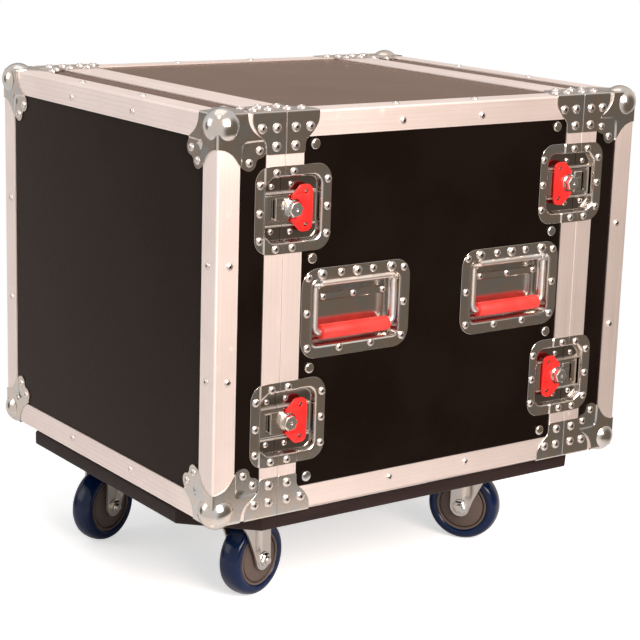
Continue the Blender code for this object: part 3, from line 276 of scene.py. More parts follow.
def laminate_finish():
    """Clouded black, with a sheen that shows only at a glance."""
    material, place = new_finish(
        "black_laminate", Specular_IOR_Level=0.075, Specular_Tint=(1.0, 0.80, 0.72, 1),
        Sheen_Weight=0.155, Sheen_Roughness=0.35, Sheen_Tint=(1.0, 0.60, 0.42, 1),
    )
    cloud = place.noise(9.0, 4.0)
    grain = place.noise(900.0, 2.0)
    tone = cloud.smooth(0.35, 0.65)
    return feed(
        material,
        Base_Color=tone.mix((0.0044, 0.0026, 0.0019, 1), (0.0064, 0.0040, 0.0030, 1)),
        Roughness=0.20 + 0.10 * cloud + 0.06 * grain,
        Normal=grain.bump(0.12, 0.0002),
    )


LAMINATE = laminate_finish()
for node in PANELS:
    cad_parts[node].data.materials[0] = LAMINATE

# Extrusions: mill-finish aluminium angle round each lid's face and along the case's long edges, and a
# tongue and groove pair at each seam. Fine ribs run along them, and blind rivets hold them on. Their
# outer faces are the case's size, which every other piece is set against.
HALF_WIDTH = 0.266
HALF_DEPTH = 0.320
CASE_BASE = 0.154
CASE_TOP = 0.634
CASE_MIDDLE = (CASE_BASE + CASE_TOP) / 2
HALF_HEIGHT = (CASE_TOP - CASE_BASE) / 2
SEAM = 0.229
SIDES = {"right": 1, "left": -1}
ENDS = {"front": -1, "rear": 1}
LATCH_FROM_END = 0.1125
LEVELS = {"lower": CASE_BASE + LATCH_FROM_END, "upper": CASE_TOP - LATCH_FROM_END}
LEG = 0.030
WALL = 0.0015
CORNER_ROUND = 0.0022
CLOSURE_EDGE = 0.0260
LATCH_CUT = 0.0385
SIDE_RIB_DEPTH = 0.00005
FACE_RIB_DEPTH = 0.00024
# How much dirt and painted shade darken a shallow rib, against a deep one.
SIDE_RIB_DIRT_AND_SHADE = 0.45
RIB_HALF = 0.00060
RIB_SIDE = 0.00090
SHARPEST = 0.0002
SAME_POINT = 0.00001
BEVEL_FROM = 50
BEND = np.linspace(0, math.pi / 2, 5)[1:-1]


def keep_rims_sharp(mesh):
    """Edges with a face on one side only are sharp, so that a sheet's shading stops at its rim."""
    users = np.zeros(len(mesh.loops), int)
    mesh.loops.foreach_get("edge_index", users)
    rim = np.bincount(users, minlength=len(mesh.edges)) == 1
    sharp = np.zeros(len(mesh.edges), bool)
    mesh.edges.foreach_get("use_edge_sharp", sharp)
    mesh.edges.foreach_set("use_edge_sharp", sharp | rim)


def make_piece(name, parts, finish, body, wall=0.0, edge=0.0, sharp=38):
    """One mesh of several grids. Doubles are merged, an open sheet gets its wall and edges are eased. A
    grid's third array holds each point's place along and across a strip, and its share of rib."""
    points = np.concatenate([part[0] for part in parts])
    starts = np.cumsum([0] + [len(part[0]) for part in parts])
    faces = [face for part, start in zip(parts, starts) for face in (part[1] + start).tolist()]
    mesh = bpy.data.meshes.new(name)
    mesh.from_pydata(points.tolist(), [], faces)
    if len(parts[0]) > 2:
        strip = mesh.uv_layers.new(name="strip")
        places = np.concatenate([part[2] for part in parts])
        corners = np.zeros(len(mesh.loops), int)
        mesh.loops.foreach_get("vertex_index", corners)
        strip.data.foreach_set("uv", places[corners, :2].ravel())
        mesh.attributes.new("rib", "FLOAT", "POINT").data.foreach_set("value", places[:, 2])
    shape = bmesh.new()
    shape.from_mesh(mesh)
    bmesh.ops.remove_doubles(shape, verts=shape.verts, dist=SAME_POINT)
    shape.to_mesh(mesh)
    shape.free()
    mesh.shade_smooth()
    mesh.set_sharp_from_angle(angle=math.radians(sharp))
    keep_rims_sharp(mesh)
    mesh.materials.append(finish)
    piece = put(name, mesh)
    if wall:
        thicken = piece.modifiers.new("wall", "SOLIDIFY")
        thicken.thickness = wall
        thicken.offset = -1
        thicken.use_quality_normals = True
    if edge:
        ease = piece.modifiers.new("edge", "BEVEL")
        ease.width = edge
        ease.segments = 2
        ease.limit_method = "ANGLE"
        ease.angle_limit = math.radians(BEVEL_FROM)
        ease.harden_normals = False
    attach(piece, body)
    return piece


def grid_faces(rows, columns):
    """Quads between neighbouring rows and columns of a grid of points."""
    row = np.arange(rows - 1)[:, None] * columns
    column = np.arange(columns - 1)[None, :]
    first = row + column
    return np.stack([first, first + 1, first + columns + 1, first + columns], axis=-1).reshape(-1, 4)


def ribbed(start, finish, ribs, rib_depth):
    """Pairs of a distance and a depth along a straight leg, with a shallow groove at each rib."""
    ribs = np.asarray(ribs, float)
    reach = (ribs[:, None] + np.array([-RIB_SIDE, -RIB_HALF, 0.0, RIB_HALF, RIB_SIDE])).ravel()
    depth = np.tile([0.0, 0.0, rib_depth, 0.0, 0.0], len(ribs))
    return np.column_stack([np.r_[start, reach, finish], np.r_[0.0, depth, 0.0]])


def rib_dirt_and_shade(depth):
    """What the dirt and painted shade in a rib weigh: 1 at the bottom of a deep rib, less in a shallow one,
    else 0.
    """
    deep = np.isclose(depth, FACE_RIB_DEPTH, rtol=0, atol=1e-7)
    shallow = np.isclose(depth, SIDE_RIB_DEPTH, rtol=0, atol=1e-7)
    return 1.0 * deep + SIDE_RIB_DIRT_AND_SHADE * shallow


def whole_outline(half_x, half_y, round_by, steps):
    """A rounded rectangle for each row of half sizes, all with the same number of steps to a corner."""
    turn = np.concatenate([np.linspace(0, math.pi / 2, steps + 1) + k * math.pi / 2 for k in range(4)])
    turn = np.append(turn, 2 * math.pi)
    sign_x = np.append(np.repeat([1, -1, -1, 1], steps + 1), 1)
    sign_y = np.append(np.repeat([1, 1, -1, -1], steps + 1), 1)
    half_x, half_y, round_by = (value[:, None] for value in (half_x, half_y, round_by))
    x = sign_x * (half_x - round_by) + round_by * np.cos(turn)
    y = sign_y * (half_y - round_by) + round_by * np.sin(turn)
    return x, y


def hoop(profile, behind=None):
    """A profile carried round the case. Each of its points, which is a distance in from the case's outer
    faces and a reach along Y, goes round a rounded rectangle. Where the rows behind the latches are
    named, only those cross a latch's window. Ends point to +Y."""
    levels = np.array(list(LEVELS.values())) - CASE_MIDDLE
    windows = np.sort(np.r_[levels - LATCH_CUT, levels + LATCH_CUT])
    inset, reach = profile.T
    round_by = np.maximum(CORNER_ROUND - inset, SHARPEST)
    x, z = whole_outline(HALF_WIDTH - inset, HALF_HEIGHT - inset, round_by, 4)
    level = np.broadcast_to(windows, (len(inset), 4))
    side = np.broadcast_to((HALF_WIDTH - inset)[:, None], (len(inset), 4))
    x = np.concatenate([side[:, 2:], x[:, :10], -side, x[:, 10:20], side[:, :3]], axis=1)
    z = np.concatenate([level[:, 2:], z[:, :10], level[:, ::-1], z[:, 10:20], level[:, :3]], axis=1)
    points = np.stack([x, reach[:, None] + 0 * x, z + CASE_MIDDLE], axis=-1)
    rows, columns = x.shape
    faces = grid_faces(rows, columns).reshape(rows - 1, columns - 1, 4)
    keep = np.ones((rows - 1, columns - 1), bool)
    if behind:
        middle = (z[0, 1:] + z[0, :-1]) / 2
        at_latch = np.isclose(middle[:, None], levels, rtol=0, atol=SAME_POINT).any(axis=1)
        keep[:, at_latch] = False
        keep[behind[0]:behind[1], at_latch] = True
    along = np.cumsum(np.r_[0, np.hypot(np.diff(x[0]), np.diff(z[0]))])
    across = np.cumsum(np.r_[0, np.hypot(*np.diff(profile, axis=0).T)])
    rib = rib_dirt_and_shade(np.minimum(inset, HALF_DEPTH - reach))
    strip = np.stack(np.broadcast_arrays(along[None, :], across[:, None], rib[:, None]), axis=-1)
    return points.reshape(-1, 3), faces[keep], strip.reshape(-1, 3)


def facing(part, end):
    """The part as made for the rear end, or turned half round the Z axis for the front."""
    if end > 0:
        return part
    return (part[0] * [-1, -1, 1], *part[1:])


def straight(profile, start, finish, corner, inward_x, inward_z):
    """An angle profile carried along Y. Its two columns are distances in from the corner along each leg."""
    ends = np.array([start, finish])[:, None]
    x = corner[0] + inward_x * profile[:, 0]
    z = corner[1] + inward_z * profile[:, 1]
    points = np.stack(np.broadcast_arrays(x[None, :], ends, z[None, :]), axis=-1)
    across = np.cumsum(np.r_[0, np.hypot(*np.diff(profile, axis=0).T)])
    rib = rib_dirt_and_shade(profile.min(axis=1))
    strip = np.stack(np.broadcast_arrays(ends, across[None, :], rib[None, :]), axis=-1)
    return points.reshape(-1, 3), grid_faces(2, len(profile)), strip.reshape(-1, 3)


def angle_profile(length, ribs):
    """An L of even wall, with a rounded outer corner and ribs on the outside, as a closed loop."""
    top = ribbed(CORNER_ROUND, length, ribs, FACE_RIB_DEPTH)[::-1]
    side = ribbed(CORNER_ROUND, length, ribs, SIDE_RIB_DEPTH)[:, ::-1]
    rounded = CORNER_ROUND - CORNER_ROUND * np.stack([np.sin(BEND), np.cos(BEND)], axis=1)
    inner = [[WALL, length], [WALL, WALL], [length, WALL], [length, 0]]
    return np.concatenate([top, rounded, side, inner])


def aluminium_finish():
    """Drawn aluminium: fine streaks along the strip, clouds, scuffs, and dirt with painted shade darkening
    its ribs.
    """
    material, place = new_finish("extruded_aluminium", Metallic=1.0)
    strip = source(place.tree, "ShaderNodeTexCoord", "UV")
    drawn = strip.stretched((4.0, 2600.0, 1.0)).noise(1.0, 2.0)
    cloud = place.noise(14.0, 3.0)
    scuffs = place.noise(70.0, 6.0, 0.7).smooth(0.60, 0.74)
    tone = (0.55 * drawn + 0.45 * cloud).smooth(0.35, 0.65)
    rib = place.node("ShaderNodeAttribute", {"attribute_name": "rib"}, {}, 2)
    bright = tone.mix((0.88, 0.79, 0.755, 1), (0.95, 0.86, 0.82, 1))
    return feed(
        material,
        # Ribs are darkened, partly as dirt and partly as painted shade in the grooves.
        Base_Color=(0.22 * rib).mix(bright, (0.42, 0.37, 0.35, 1)),
        Roughness=0.46 + 0.14 * drawn + 0.10 * scuffs,
        Normal=drawn.bump(0.10, 0.00015),
    )


ALUMINIUM = aluminium_finish()
LEG_RIBS = (0.0045, 0.0105, 0.0165, 0.0225, 0.0275)
CLOSURE_RIBS = (0.206, 0.2135, 0.221)
TONGUE_INSIDE = [
    (0.0004, 0.2288), (0.0053, 0.2288), (0.0053, 0.2328), (0.0073, 0.2328), (0.0073, 0.2288),
    (0.0131, 0.2288), (0.0131, 0.2148), (0.0111, 0.2148), (0.0111, 0.2268), (WALL, 0.2268),
    (WALL, SEAM - CLOSURE_EDGE), (0.0, SEAM - CLOSURE_EDGE),
]
GROOVE_INSIDE = [
    (0.0004, 0.2292), (WALL, 0.2292), (WALL, 0.2335), (0.0111, 0.2335), (0.0111, 0.2293),
    (0.0131, 0.2293), (0.0131, 0.2432), (0.0111, 0.2432), (0.0111, 0.2355), (WALL, 0.2355),
    (WALL, SEAM + CLOSURE_EDGE), (0.0, SEAM + CLOSURE_EDGE),
]
back_ribs = HALF_DEPTH - np.array(LEG_RIBS[::-1])
groove_ribs = 2 * SEAM - np.array(CLOSURE_RIBS[::-1])
FACE_HOOP = hoop(np.concatenate([
    ribbed(HALF_DEPTH - LEG, HALF_DEPTH - CORNER_ROUND, back_ribs, SIDE_RIB_DEPTH)[:, ::-1],
    np.stack([CORNER_ROUND * (1 - np.cos(BEND)), HALF_DEPTH - CORNER_ROUND * (1 - np.sin(BEND))], axis=1),
    ribbed(CORNER_ROUND, LEG, LEG_RIBS, FACE_RIB_DEPTH) * [1, -1] + [0, HALF_DEPTH],
    [(LEG, HALF_DEPTH - WALL), (WALL, HALF_DEPTH - WALL), (WALL, HALF_DEPTH - LEG), (0.0, HALF_DEPTH - LEG)],
]))
tongue = ribbed(SEAM - CLOSURE_EDGE, 0.2284, CLOSURE_RIBS, SIDE_RIB_DEPTH)[:, ::-1]
TONGUE_HOOP = hoop(np.concatenate([tongue, TONGUE_INSIDE]), (len(tongue) + 5, len(tongue) + 8))
groove = ribbed(0.2296, SEAM + CLOSURE_EDGE, groove_ribs, SIDE_RIB_DEPTH)[::-1, ::-1]
GROOVE_HOOP = hoop(np.concatenate([groove, GROOVE_INSIDE]), (len(groove) + 3, len(groove) + 8))
ANGLE = angle_profile(LEG, LEG_RIBS)
EDGES = [(side, top) for side in SIDES.values() for top in (1, -1)]


def edge_angles(start, finish):
    """The four angles along the case's long edges, between two places along Y."""
    return [
        straight(ANGLE, start, finish, (side * HALF_WIDTH, CASE_MIDDLE + top * HALF_HEIGHT), -side, -top)
        for side, top in EDGES
    ]


body_edging = edge_angles(-SEAM + CLOSURE_EDGE, SEAM - CLOSURE_EDGE)
body_edging += [facing(TONGUE_HOOP, end) for end in ENDS.values()]
edging = make_piece("body_edging", body_edging, ALUMINIUM, "case")
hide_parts("body_frame")
for end_name, end in ENDS.items():
    lid_edging = [facing(FACE_HOOP, end), facing(GROOVE_HOOP, end)]
    lid_edging += [facing(part, end) for part in edge_angles(SEAM + CLOSURE_EDGE, HALF_DEPTH - LEG)]
    edging = make_piece(f"{end_name}_lid_edging", lid_edging, ALUMINIUM, f"{end_name}_lid")
    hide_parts(f"{end_name}_lid_frame")

# Plating: pressed steel braces on both sides of each seam at the long edges, in bright zinc that
# reflects the room. Each wraps over an edge and is cut to a waist between its rivets.
PLATE = 0.0012
PLATE_BEND = 0.0015
BRACE_REACH = 0.049
BRACE_DROPS = (0.0, 0.008, 0.012, 0.016, 0.020, 0.024, 0.028, 0.031, 0.034, 0.038, 0.049)
BRACE_WIDTHS = (0.046, 0.046, 0.0455, 0.0440, 0.0415, 0.0385, 0.0345, 0.0312, 0.0285, 0.0270, 0.0270)
BRACE_END_ROUND = 0.003
BRACE_SHEET = PLATE - 0.0001
BRACE_EASE = 0.0005
SEAM_CLEARANCE = 0.0003
# Share of the zinc's colour kept under the painted shade inside a latch dish.
RECESS_SHADE_SHARE = 0.45


def wrapped(along, drop, corner, away, side, top, proud):
    """Points on a sheet folded over a long edge. Drop is the distance from the edge, negative down the
    side and positive across the top or bottom, with a bend of PLATE_BEND about the edge."""
    bend = PLATE_BEND + proud
    half_arc = bend * math.pi / 4
    inner = np.clip(np.abs(drop) - half_arc, 0, None) + PLATE_BEND
    turn = np.clip(np.abs(drop), 0, half_arc) / bend
    flat = np.abs(drop) > half_arc
    out = np.where(flat, -proud, PLATE_BEND - bend * np.sin(math.pi / 4 + turn))
    run = np.where(flat, inner, PLATE_BEND - bend * np.cos(math.pi / 4 + turn))
    inset_x = np.where(drop < 0, out, run)
    inset_z = np.where(drop < 0, run, out)
    x = side * (HALF_WIDTH - inset_x)
    z = corner[1] - top * inset_z
    y = corner[0] + away * along
    return np.stack(np.broadcast_arrays(x, y, z), axis=-1)


def brace(side, top, end, away):
    """Distance from the seam is a share of the outline's width at each drop, which is eased between the
    outline's own points and rounded at the two far ends."""
    drop = np.concatenate([np.linspace(0.0, 0.0024, 9), np.linspace(0.004, BRACE_REACH, 36)])
    width = np.interp(drop, BRACE_DROPS, BRACE_WIDTHS)
    past = np.clip(drop - (BRACE_REACH - BRACE_END_ROUND), 0, BRACE_END_ROUND)
    width -= BRACE_END_ROUND - np.sqrt(np.clip(BRACE_END_ROUND**2 - past**2, 0, None))
    drop, width = np.r_[-drop[:0:-1], drop], np.r_[width[:0:-1], width]
    share = np.linspace(0, 1, 9)
    along = SEAM_CLEARANCE + share[None, :] * (width[:, None] - SEAM_CLEARANCE)
    corner = (end * SEAM, CASE_MIDDLE + top * HALF_HEIGHT)
    points = wrapped(along, drop[:, None] + 0 * along, corner, away, side, top, PLATE)
    return outward(points, (side, 0, top))


def outward(points, out):
    """A grid of points as a part whose faces look along the out direction as a whole."""
    rows, columns = points.shape[:2]
    faces = grid_faces(rows, columns)
    flat = points.reshape(-1, 3)
    first, second = flat[faces[:, 2]] - flat[faces[:, 0]], flat[faces[:, 3]] - flat[faces[:, 1]]
    if np.dot(np.cross(first, second).sum(axis=0), out) < 0:
        faces = faces[:, ::-1]
    return flat, faces


def zinc_finish(name, colour, bluer, low, high, waves=0.10, recess_shade=None):
    """Bright zinc: a near-mirror with cloudy patches of roughness and a faint bluish cast here and there.
    Painted shade in a recess darkens what lies nearer to the case's middle along X than its two distances."""
    material, place = new_finish(name, Metallic=1.0)
    cloud = place.noise(38.0, 4.0)
    smear = place.noise(160.0, 3.0)
    tone = cloud.smooth(0.42, 0.66).mix((*colour, 1), (*bluer, 1))
    # Painted shade: darker inside the recess, below the case's face.
    if recess_shade:
        proud = place.maths("ABSOLUTE", place.part(0)).smooth(*recess_shade)
        tone = proud.mix((*(RECESS_SHADE_SHARE * value for value in colour), 1), tone)
    return feed(
        material,
        Base_Color=tone,
        Roughness=low + (high - low) * (0.6 * cloud + 0.4 * smear),
        Normal=place.noise(55.0, 2.0).bump(waves, 0.0006),
    )


ZINC = zinc_finish("bright_zinc", (0.66, 0.60, 0.54), (0.58, 0.60, 0.60), 0.08, 0.26)
body_braces = [brace(side, top, end, -end) for side, top in EDGES for end in ENDS.values()]
make_piece("body_braces", body_braces, ZINC, "case", wall=BRACE_SHEET, edge=BRACE_EASE)
for end_name, end in ENDS.items():
    lid = f"{end_name}_lid"
    lid_braces = [brace(side, top, end, end) for side, top in EDGES]
    make_piece(f"{lid}_braces", lid_braces, ZINC, lid, wall=BRACE_SHEET, edge=BRACE_EASE)

# Ball corners: three plates and a ball pressed from one sheet, which steps down off the edging to
# two lobes on each panel. They cap the four corners of each lid.
BALL = 0.0213
BALL_INSET = 0.014
CORNER_DROP = 0.0015
CORNER_STEP = 0.0312
CORNER_OUTLINE = (
    (0.0388, -0.0012), (0.0388, -0.0006), (0.0388, 0.0), (0.0388, 0.0007), (0.0388, 0.0015),
    (0.0388, 0.0040), (0.0396, 0.0080), (0.0410, 0.0120), (0.0430, 0.0160),
    (0.0457, 0.0195), (0.0488, 0.0225), (0.0525, 0.0253), (0.0562, 0.0278), (0.0592, 0.0302),
    (0.0618, 0.0332), (0.0640, 0.0370), (0.0655, 0.0410), (0.0652, 0.0445), (0.0638, 0.0475),
    (0.0615, 0.0498), (0.0588, 0.0512), (0.0560, 0.0516), (0.0543, 0.0522),
)
STEP_HALF = 0.0011
STEP_ROUND = 0.006
BALL_ROWS = 14


def eased(share):
    """0 below 0, 1 above 1, and a smooth climb between."""
    share = np.clip(share, 0, 1)
    return share * share * (3 - 2 * share)


def folded(u, v, height):
    """Points of a plate at a depth below its face, bent round the case's edges by PLATE_BEND."""
    points = np.stack([u, v, height], axis=-1)
    core = np.maximum(points, PLATE_BEND)
    away = points - core
    length = np.linalg.norm(away, axis=-1, keepdims=True)
    bent = core + away / length * (PLATE_BEND - height[..., None])
    flat_part = (u > PLATE_BEND) & (v > PLATE_BEND)
    return np.where(flat_part[..., None], points, bent)


def share_at(rim, depth):
    """How far out along each ray its smoothed distance from the nearer edge reaches a depth. That
    distance is half of u + v less the square root of (u - v) squared plus STEP_ROUND squared."""
    product = np.maximum(rim[:, 0] * rim[:, 1], 1e-9)
    total = depth * rim.sum(axis=1)
    inside = total**2 - 4 * product * (depth**2 - STEP_ROUND**2 / 4)
    return np.minimum((total + np.sqrt(inside)) / (2 * product), 1)


def corner_face(turn):
    """One of the three plates. Rays run out from the corner, over the ball to its crease, on to the step
    and down it, and then to the outline. Inside the crease a point is pushed out to the ball."""
    half = np.array(CORNER_OUTLINE)
    rim = np.concatenate([half, half[::-1, ::-1]]) + PLATE
    trial = np.linspace(0, 1, 1201)[:, None, None]
    reach = np.moveaxis(trial * rim[None] - PLATE, -1, 0)
    from_ball = folded(*reach, np.full(reach[0].shape, -PLATE)) - BALL_INSET
    within = (np.linalg.norm(from_ball, axis=-1) < BALL) * trial[:, :, 0]
    crease = within.max(axis=0)
    step_top = share_at(rim, CORNER_STEP - STEP_HALF + PLATE)
    step_foot = share_at(rim, CORNER_STEP + STEP_HALF + PLATE)
    rows = [crease * share for share in np.linspace(0, 1, BALL_ROWS)]
    rows += [crease + (step_top - crease) * share for share in (0.05, 0.2, 0.4, 0.6, 0.8, 1.0)]
    rows += [step_top + (step_foot - step_top) * share for share in (0.2, 0.4, 0.6, 0.8)]
    rows += [step_foot + (1 - step_foot) * share for share in (0.0, 0.25, 0.5, 0.75, 1.0)]
    flat = np.array(rows)[:, :, None] * rim[None] - PLATE
    u, v = flat[..., 0], flat[..., 1]
    near = 0.5 * (u + v - np.sqrt((u - v) ** 2 + STEP_ROUND**2))
    sunk = np.clip((near - CORNER_STEP + STEP_HALF) / (2 * STEP_HALF), 0, 1)
    points = folded(u, v, CORNER_DROP * sunk - PLATE)
    from_ball = points - BALL_INSET
    distance = np.linalg.norm(from_ball, axis=-1, keepdims=True)
    on_ball = (np.arange(len(rows)) < BALL_ROWS)[:, None, None]
    points = BALL_INSET + from_ball / distance * np.where(on_ball, BALL, distance)
    return np.roll(points, turn, axis=-1)


def case_corner(side, end, top):
    """The point where three of the case's faces meet, and the way in from it along each axis."""
    corner = np.array([side * HALF_WIDTH, end * HALF_DEPTH, CASE_MIDDLE + top * HALF_HEIGHT])
    return corner, np.array([-side, -end, -top])


def ball_corner(side, end, top):
    """The three plates of one corner, each turned on to the next pair of axes."""
    corner, inward = case_corner(side, end, top)
    return [outward(corner + corner_face(turn) * inward, -inward) for turn in range(3)]


for end_name, end in ENDS.items():
    plates = [plate for side, top in EDGES for plate in ball_corner(side, end, top)]
    make_piece(
        f"{end_name}_lid_corners", plates, ZINC, f"{end_name}_lid",
        wall=PLATE - 0.0002, edge=0.0004, sharp=30,
    )

# Latch dishes: two pressed halves that meet at the seam, each with a riveted flange that steps up over
# the edging, a rolled lip and a flat floor. Low guides on the floor lead the hook plate.
SPINDLE_FROM_SEAM = 0.014
DISH_SHEET = 0.0011
DISH_FLOOR = -0.0088
DISH_HALF = 0.038
DISH_FLANGE_HALF = 0.051
DISH_ROUND = 0.012
DISH_FLANGE_ROUND = 0.020
DISH_RINGS = (
    (1.0, -0.0007), (1.0, -0.0002), (0.985, 0.0), (0.6, 0.0), (0.30, 0.0), (0.20, 0.0), (0.15, -0.0002),
    (0.10, -0.0005), (0.04, -0.0012), (0.0, -0.0024), (-0.01, -0.0040), (-0.03, -0.0057),
    (-0.07, -0.0076), (-0.14, -0.0085), (-0.22, -0.0088),
)
FLANGE_LOW = -0.0003
LIP_FOOT = -0.0024
RAISE_FADE = 0.0060
JOGGLE = (0.0259, 0.0276)
JOGGLE_STOPS = np.array([0.0, 0.008, 0.016, 0.0252, *JOGGLE])
HALF_SEAM = 0.0004
HOOK_HALF = 0.0168
SLOT_HALF = 0.0176
SLOT_FROM = -0.0365
SLOT_TOP = -0.0050
GUIDE_SPANS = {"body": (-0.0136, 0.0330), "lid": (-0.0385, -0.0144)}
GUIDE_SIDES = ((0.0178, 0.0203), (-0.0203, -0.0178))
GUIDE_TOP = -0.0044


def stacked(x, y, height):
    """Rows of points from their x and y, with each row at its own height."""
    return np.stack([x, y, np.reshape(height, (-1, 1)) + 0 * x], axis=-1)


def half_outline(reach, half, round_by):
    """Half a rounded rectangle, from the seam along the top, round the end and back along the bottom. Its
    points stand at JOGGLE_STOPS from the seam, also where those fall on the rounded corner."""
    reach, half, round_by = (value[:, None] for value in (reach, half, round_by))
    straight_end = reach - round_by
    x = np.minimum(JOGGLE_STOPS, reach)
    first = np.arccos(np.clip((x[:, -1:] - straight_end) / round_by, 0, 1))
    turn = first * np.linspace(1, 0, 10)
    past = np.clip(x - straight_end, 0, round_by)
    y = half - round_by + np.sqrt(round_by**2 - past**2)
    x = np.concatenate([x, straight_end + round_by * np.cos(turn), reach, reach], axis=1)
    beside_hook = SLOT_HALF + 0 * half
    lower = [half - round_by + round_by * np.sin(turn), beside_hook, 0.3 * beside_hook]
    y = np.concatenate([y, *lower], axis=1)
    return np.concatenate([x, x[:, ::-1]], axis=1), np.concatenate([y, -y[:, ::-1]], axis=1)


def dish_half(sign, opening, flange):
    """Rings from the flange's rim, over the lip and down the wall to the floor, about the middle of the
    seam. A ring lies at a share of the way from the opening out to the rim, and at a height from the
    flange's face. Over the edging the flange is raised, and the wall below its lip takes up the rise."""
    share, height = np.transpose(DISH_RINGS)
    reach = opening + share * (flange - opening)
    half = DISH_HALF + share * (DISH_FLANGE_HALF - DISH_HALF)
    x, y = half_outline(reach, half, DISH_ROUND + share * (DISH_FLANGE_ROUND - DISH_ROUND))
    height = height[:, None]
    raised = PLATE - (PLATE - FLANGE_LOW) * np.clip((x - JOGGLE[0]) / (JOGGLE[1] - JOGGLE[0]), 0, 1)
    lift = np.clip(1 + (height - LIP_FOOT) / RAISE_FADE, 0, 1)
    z = np.maximum(height + lift * raised, DISH_FLOOR)
    shrink = np.array([0.66, 0.33, 0.0])[:, None]
    x, y = (np.concatenate([value, shrink * value[-1]]) for value in (x, y))
    z = np.concatenate([z, np.full((len(shrink), z.shape[1]), DISH_FLOOR)])
    return outward(np.stack([sign * (x + HALF_SEAM) - SPINDLE_FROM_SEAM, y, z], axis=-1), (0, 0, 1))


def slotted(points, faces):
    """The lid's half without the low faces of its wall that the hook slides through."""
    middle = points[faces].mean(axis=1)
    slot = (np.abs(middle[:, 1]) < HOOK_HALF) & (middle[:, 0] < SLOT_FROM) & (middle[:, 2] < SLOT_TOP)
    return points, faces[~slot]


def bar(low, high, ease=0.0004):
    """A bar between two corners with its upper edges eased: rings of a rectangle from its base to its top."""
    low, high = np.array(low, float), np.array(high, float)
    middle, half = (low + high) / 2, (high - low) / 2
    inset = np.array([0, 0, ease, half[:2].max()])[:, None]
    x = middle[0] + np.array([-1, 1, 1, -1, -1]) * np.maximum(half[0] - inset, 0)
    y = middle[1] + np.array([-1, -1, 1, 1, -1]) * np.maximum(half[1] - inset, 0)
    return outward(stacked(x, y, [low[2], high[2] - ease, high[2], high[2]]), (0, 0, 1))


def seat(parts, origin, along, across, out):
    """Parts in local axes moved to their place. Faces are turned over where the axes are left-handed."""
    axes = np.array([along, across, out], float)
    step = 1 if np.linalg.det(axes) > 0 else -1
    return [(points @ axes + origin, faces[:, ::step]) for points, faces in parts]


def latch_axes(side, end, height):
    """The spindle's axis at the face, and axes towards the body, up and out."""
    origin = (side * HALF_WIDTH, end * (SEAM - SPINDLE_FROM_SEAM), height)
    return origin, (0, -end, 0), (0, 0, 1), (side, 0, 0)


BAIL_ZINC = zinc_finish("bail_zinc", (0.80, 0.74, 0.68), (0.74, 0.75, 0.75), 0.28, 0.50)
# The dish zinc is painted darker inside the dish, as shade in its recess.
DISH_ZINC = zinc_finish(
    "dish_zinc", (0.66, 0.60, 0.54), (0.58, 0.60, 0.60), 0.08, 0.26, waves=0.22, recess_shade=(0.2575, 0.2625)
)
DISHES = {
    "body": [dish_half(1, opening=0.052, flange=0.066)],
    "lid": [slotted(*dish_half(-1, opening=0.025, flange=0.0395))],
}
GUIDES = {
    half: [bar((start, near, DISH_FLOOR), (finish, far, GUIDE_TOP)) for near, far in GUIDE_SIDES]
    for half, (start, finish) in GUIDE_SPANS.items()
}
LATCHES = [
    (f"{end_name}_{side_name}_{level_name}", end_name, latch_axes(side, end, height))
    for side_name, side in SIDES.items()
    for end_name, end in ENDS.items()
    for level_name, height in LEVELS.items()
]
OWNERS = [("body", "case", "body", ENDS)]
OWNERS += [(f"{end_name}_lid", f"{end_name}_lid", "lid", [end_name]) for end_name in ENDS]
for kind, halves, finish, wall in (
    ("dishes", DISHES, DISH_ZINC, DISH_SHEET),
    ("guides", GUIDES, BAIL_ZINC, 0),
):
    for owner, body, half, ends in OWNERS:
        seated = []
        for where, end_name, axes in LATCHES:
            if end_name in ends:
                seated += seat(halves[half], *axes)
        make_piece(f"{owner}_latch_{kind}", seated, finish, body, wall=wall)

# Latches: the hook plate slides over the floor, driven by the cam under the hexagon. The red wing folds
# down over it on two pins.
HOOK_LOW = -0.0075
HOOK_HIGH = -0.0055
HOOK_BLOCK = -0.0042
CAM_HIGH = -0.0030
CAM_RADIUS = 0.0105
COLLAR_HIGH = -0.0011
HEX_TOP = 0.0060
HEX_RADIUS = 0.0096
WING_AXIS = -0.0025
WING_SHEET = 0.0025
EASED_EDGE = 0.0003


def turned(profile, sides, start=0.0):
    """A profile of radii and heights turned about Z. It may start at its foot or at its top, and faces
    look out either way."""
    radius, height = np.array(profile, float).T
    angle = start + np.linspace(0, 2 * math.pi, sides + 1)
    points = stacked(radius[:, None] * np.cos(angle), radius[:, None] * np.sin(angle), height)
    step = 1 if height[-1] > height[0] else -1
    return points.reshape(-1, 3), grid_faces(len(radius), sides + 1)[:, ::step]


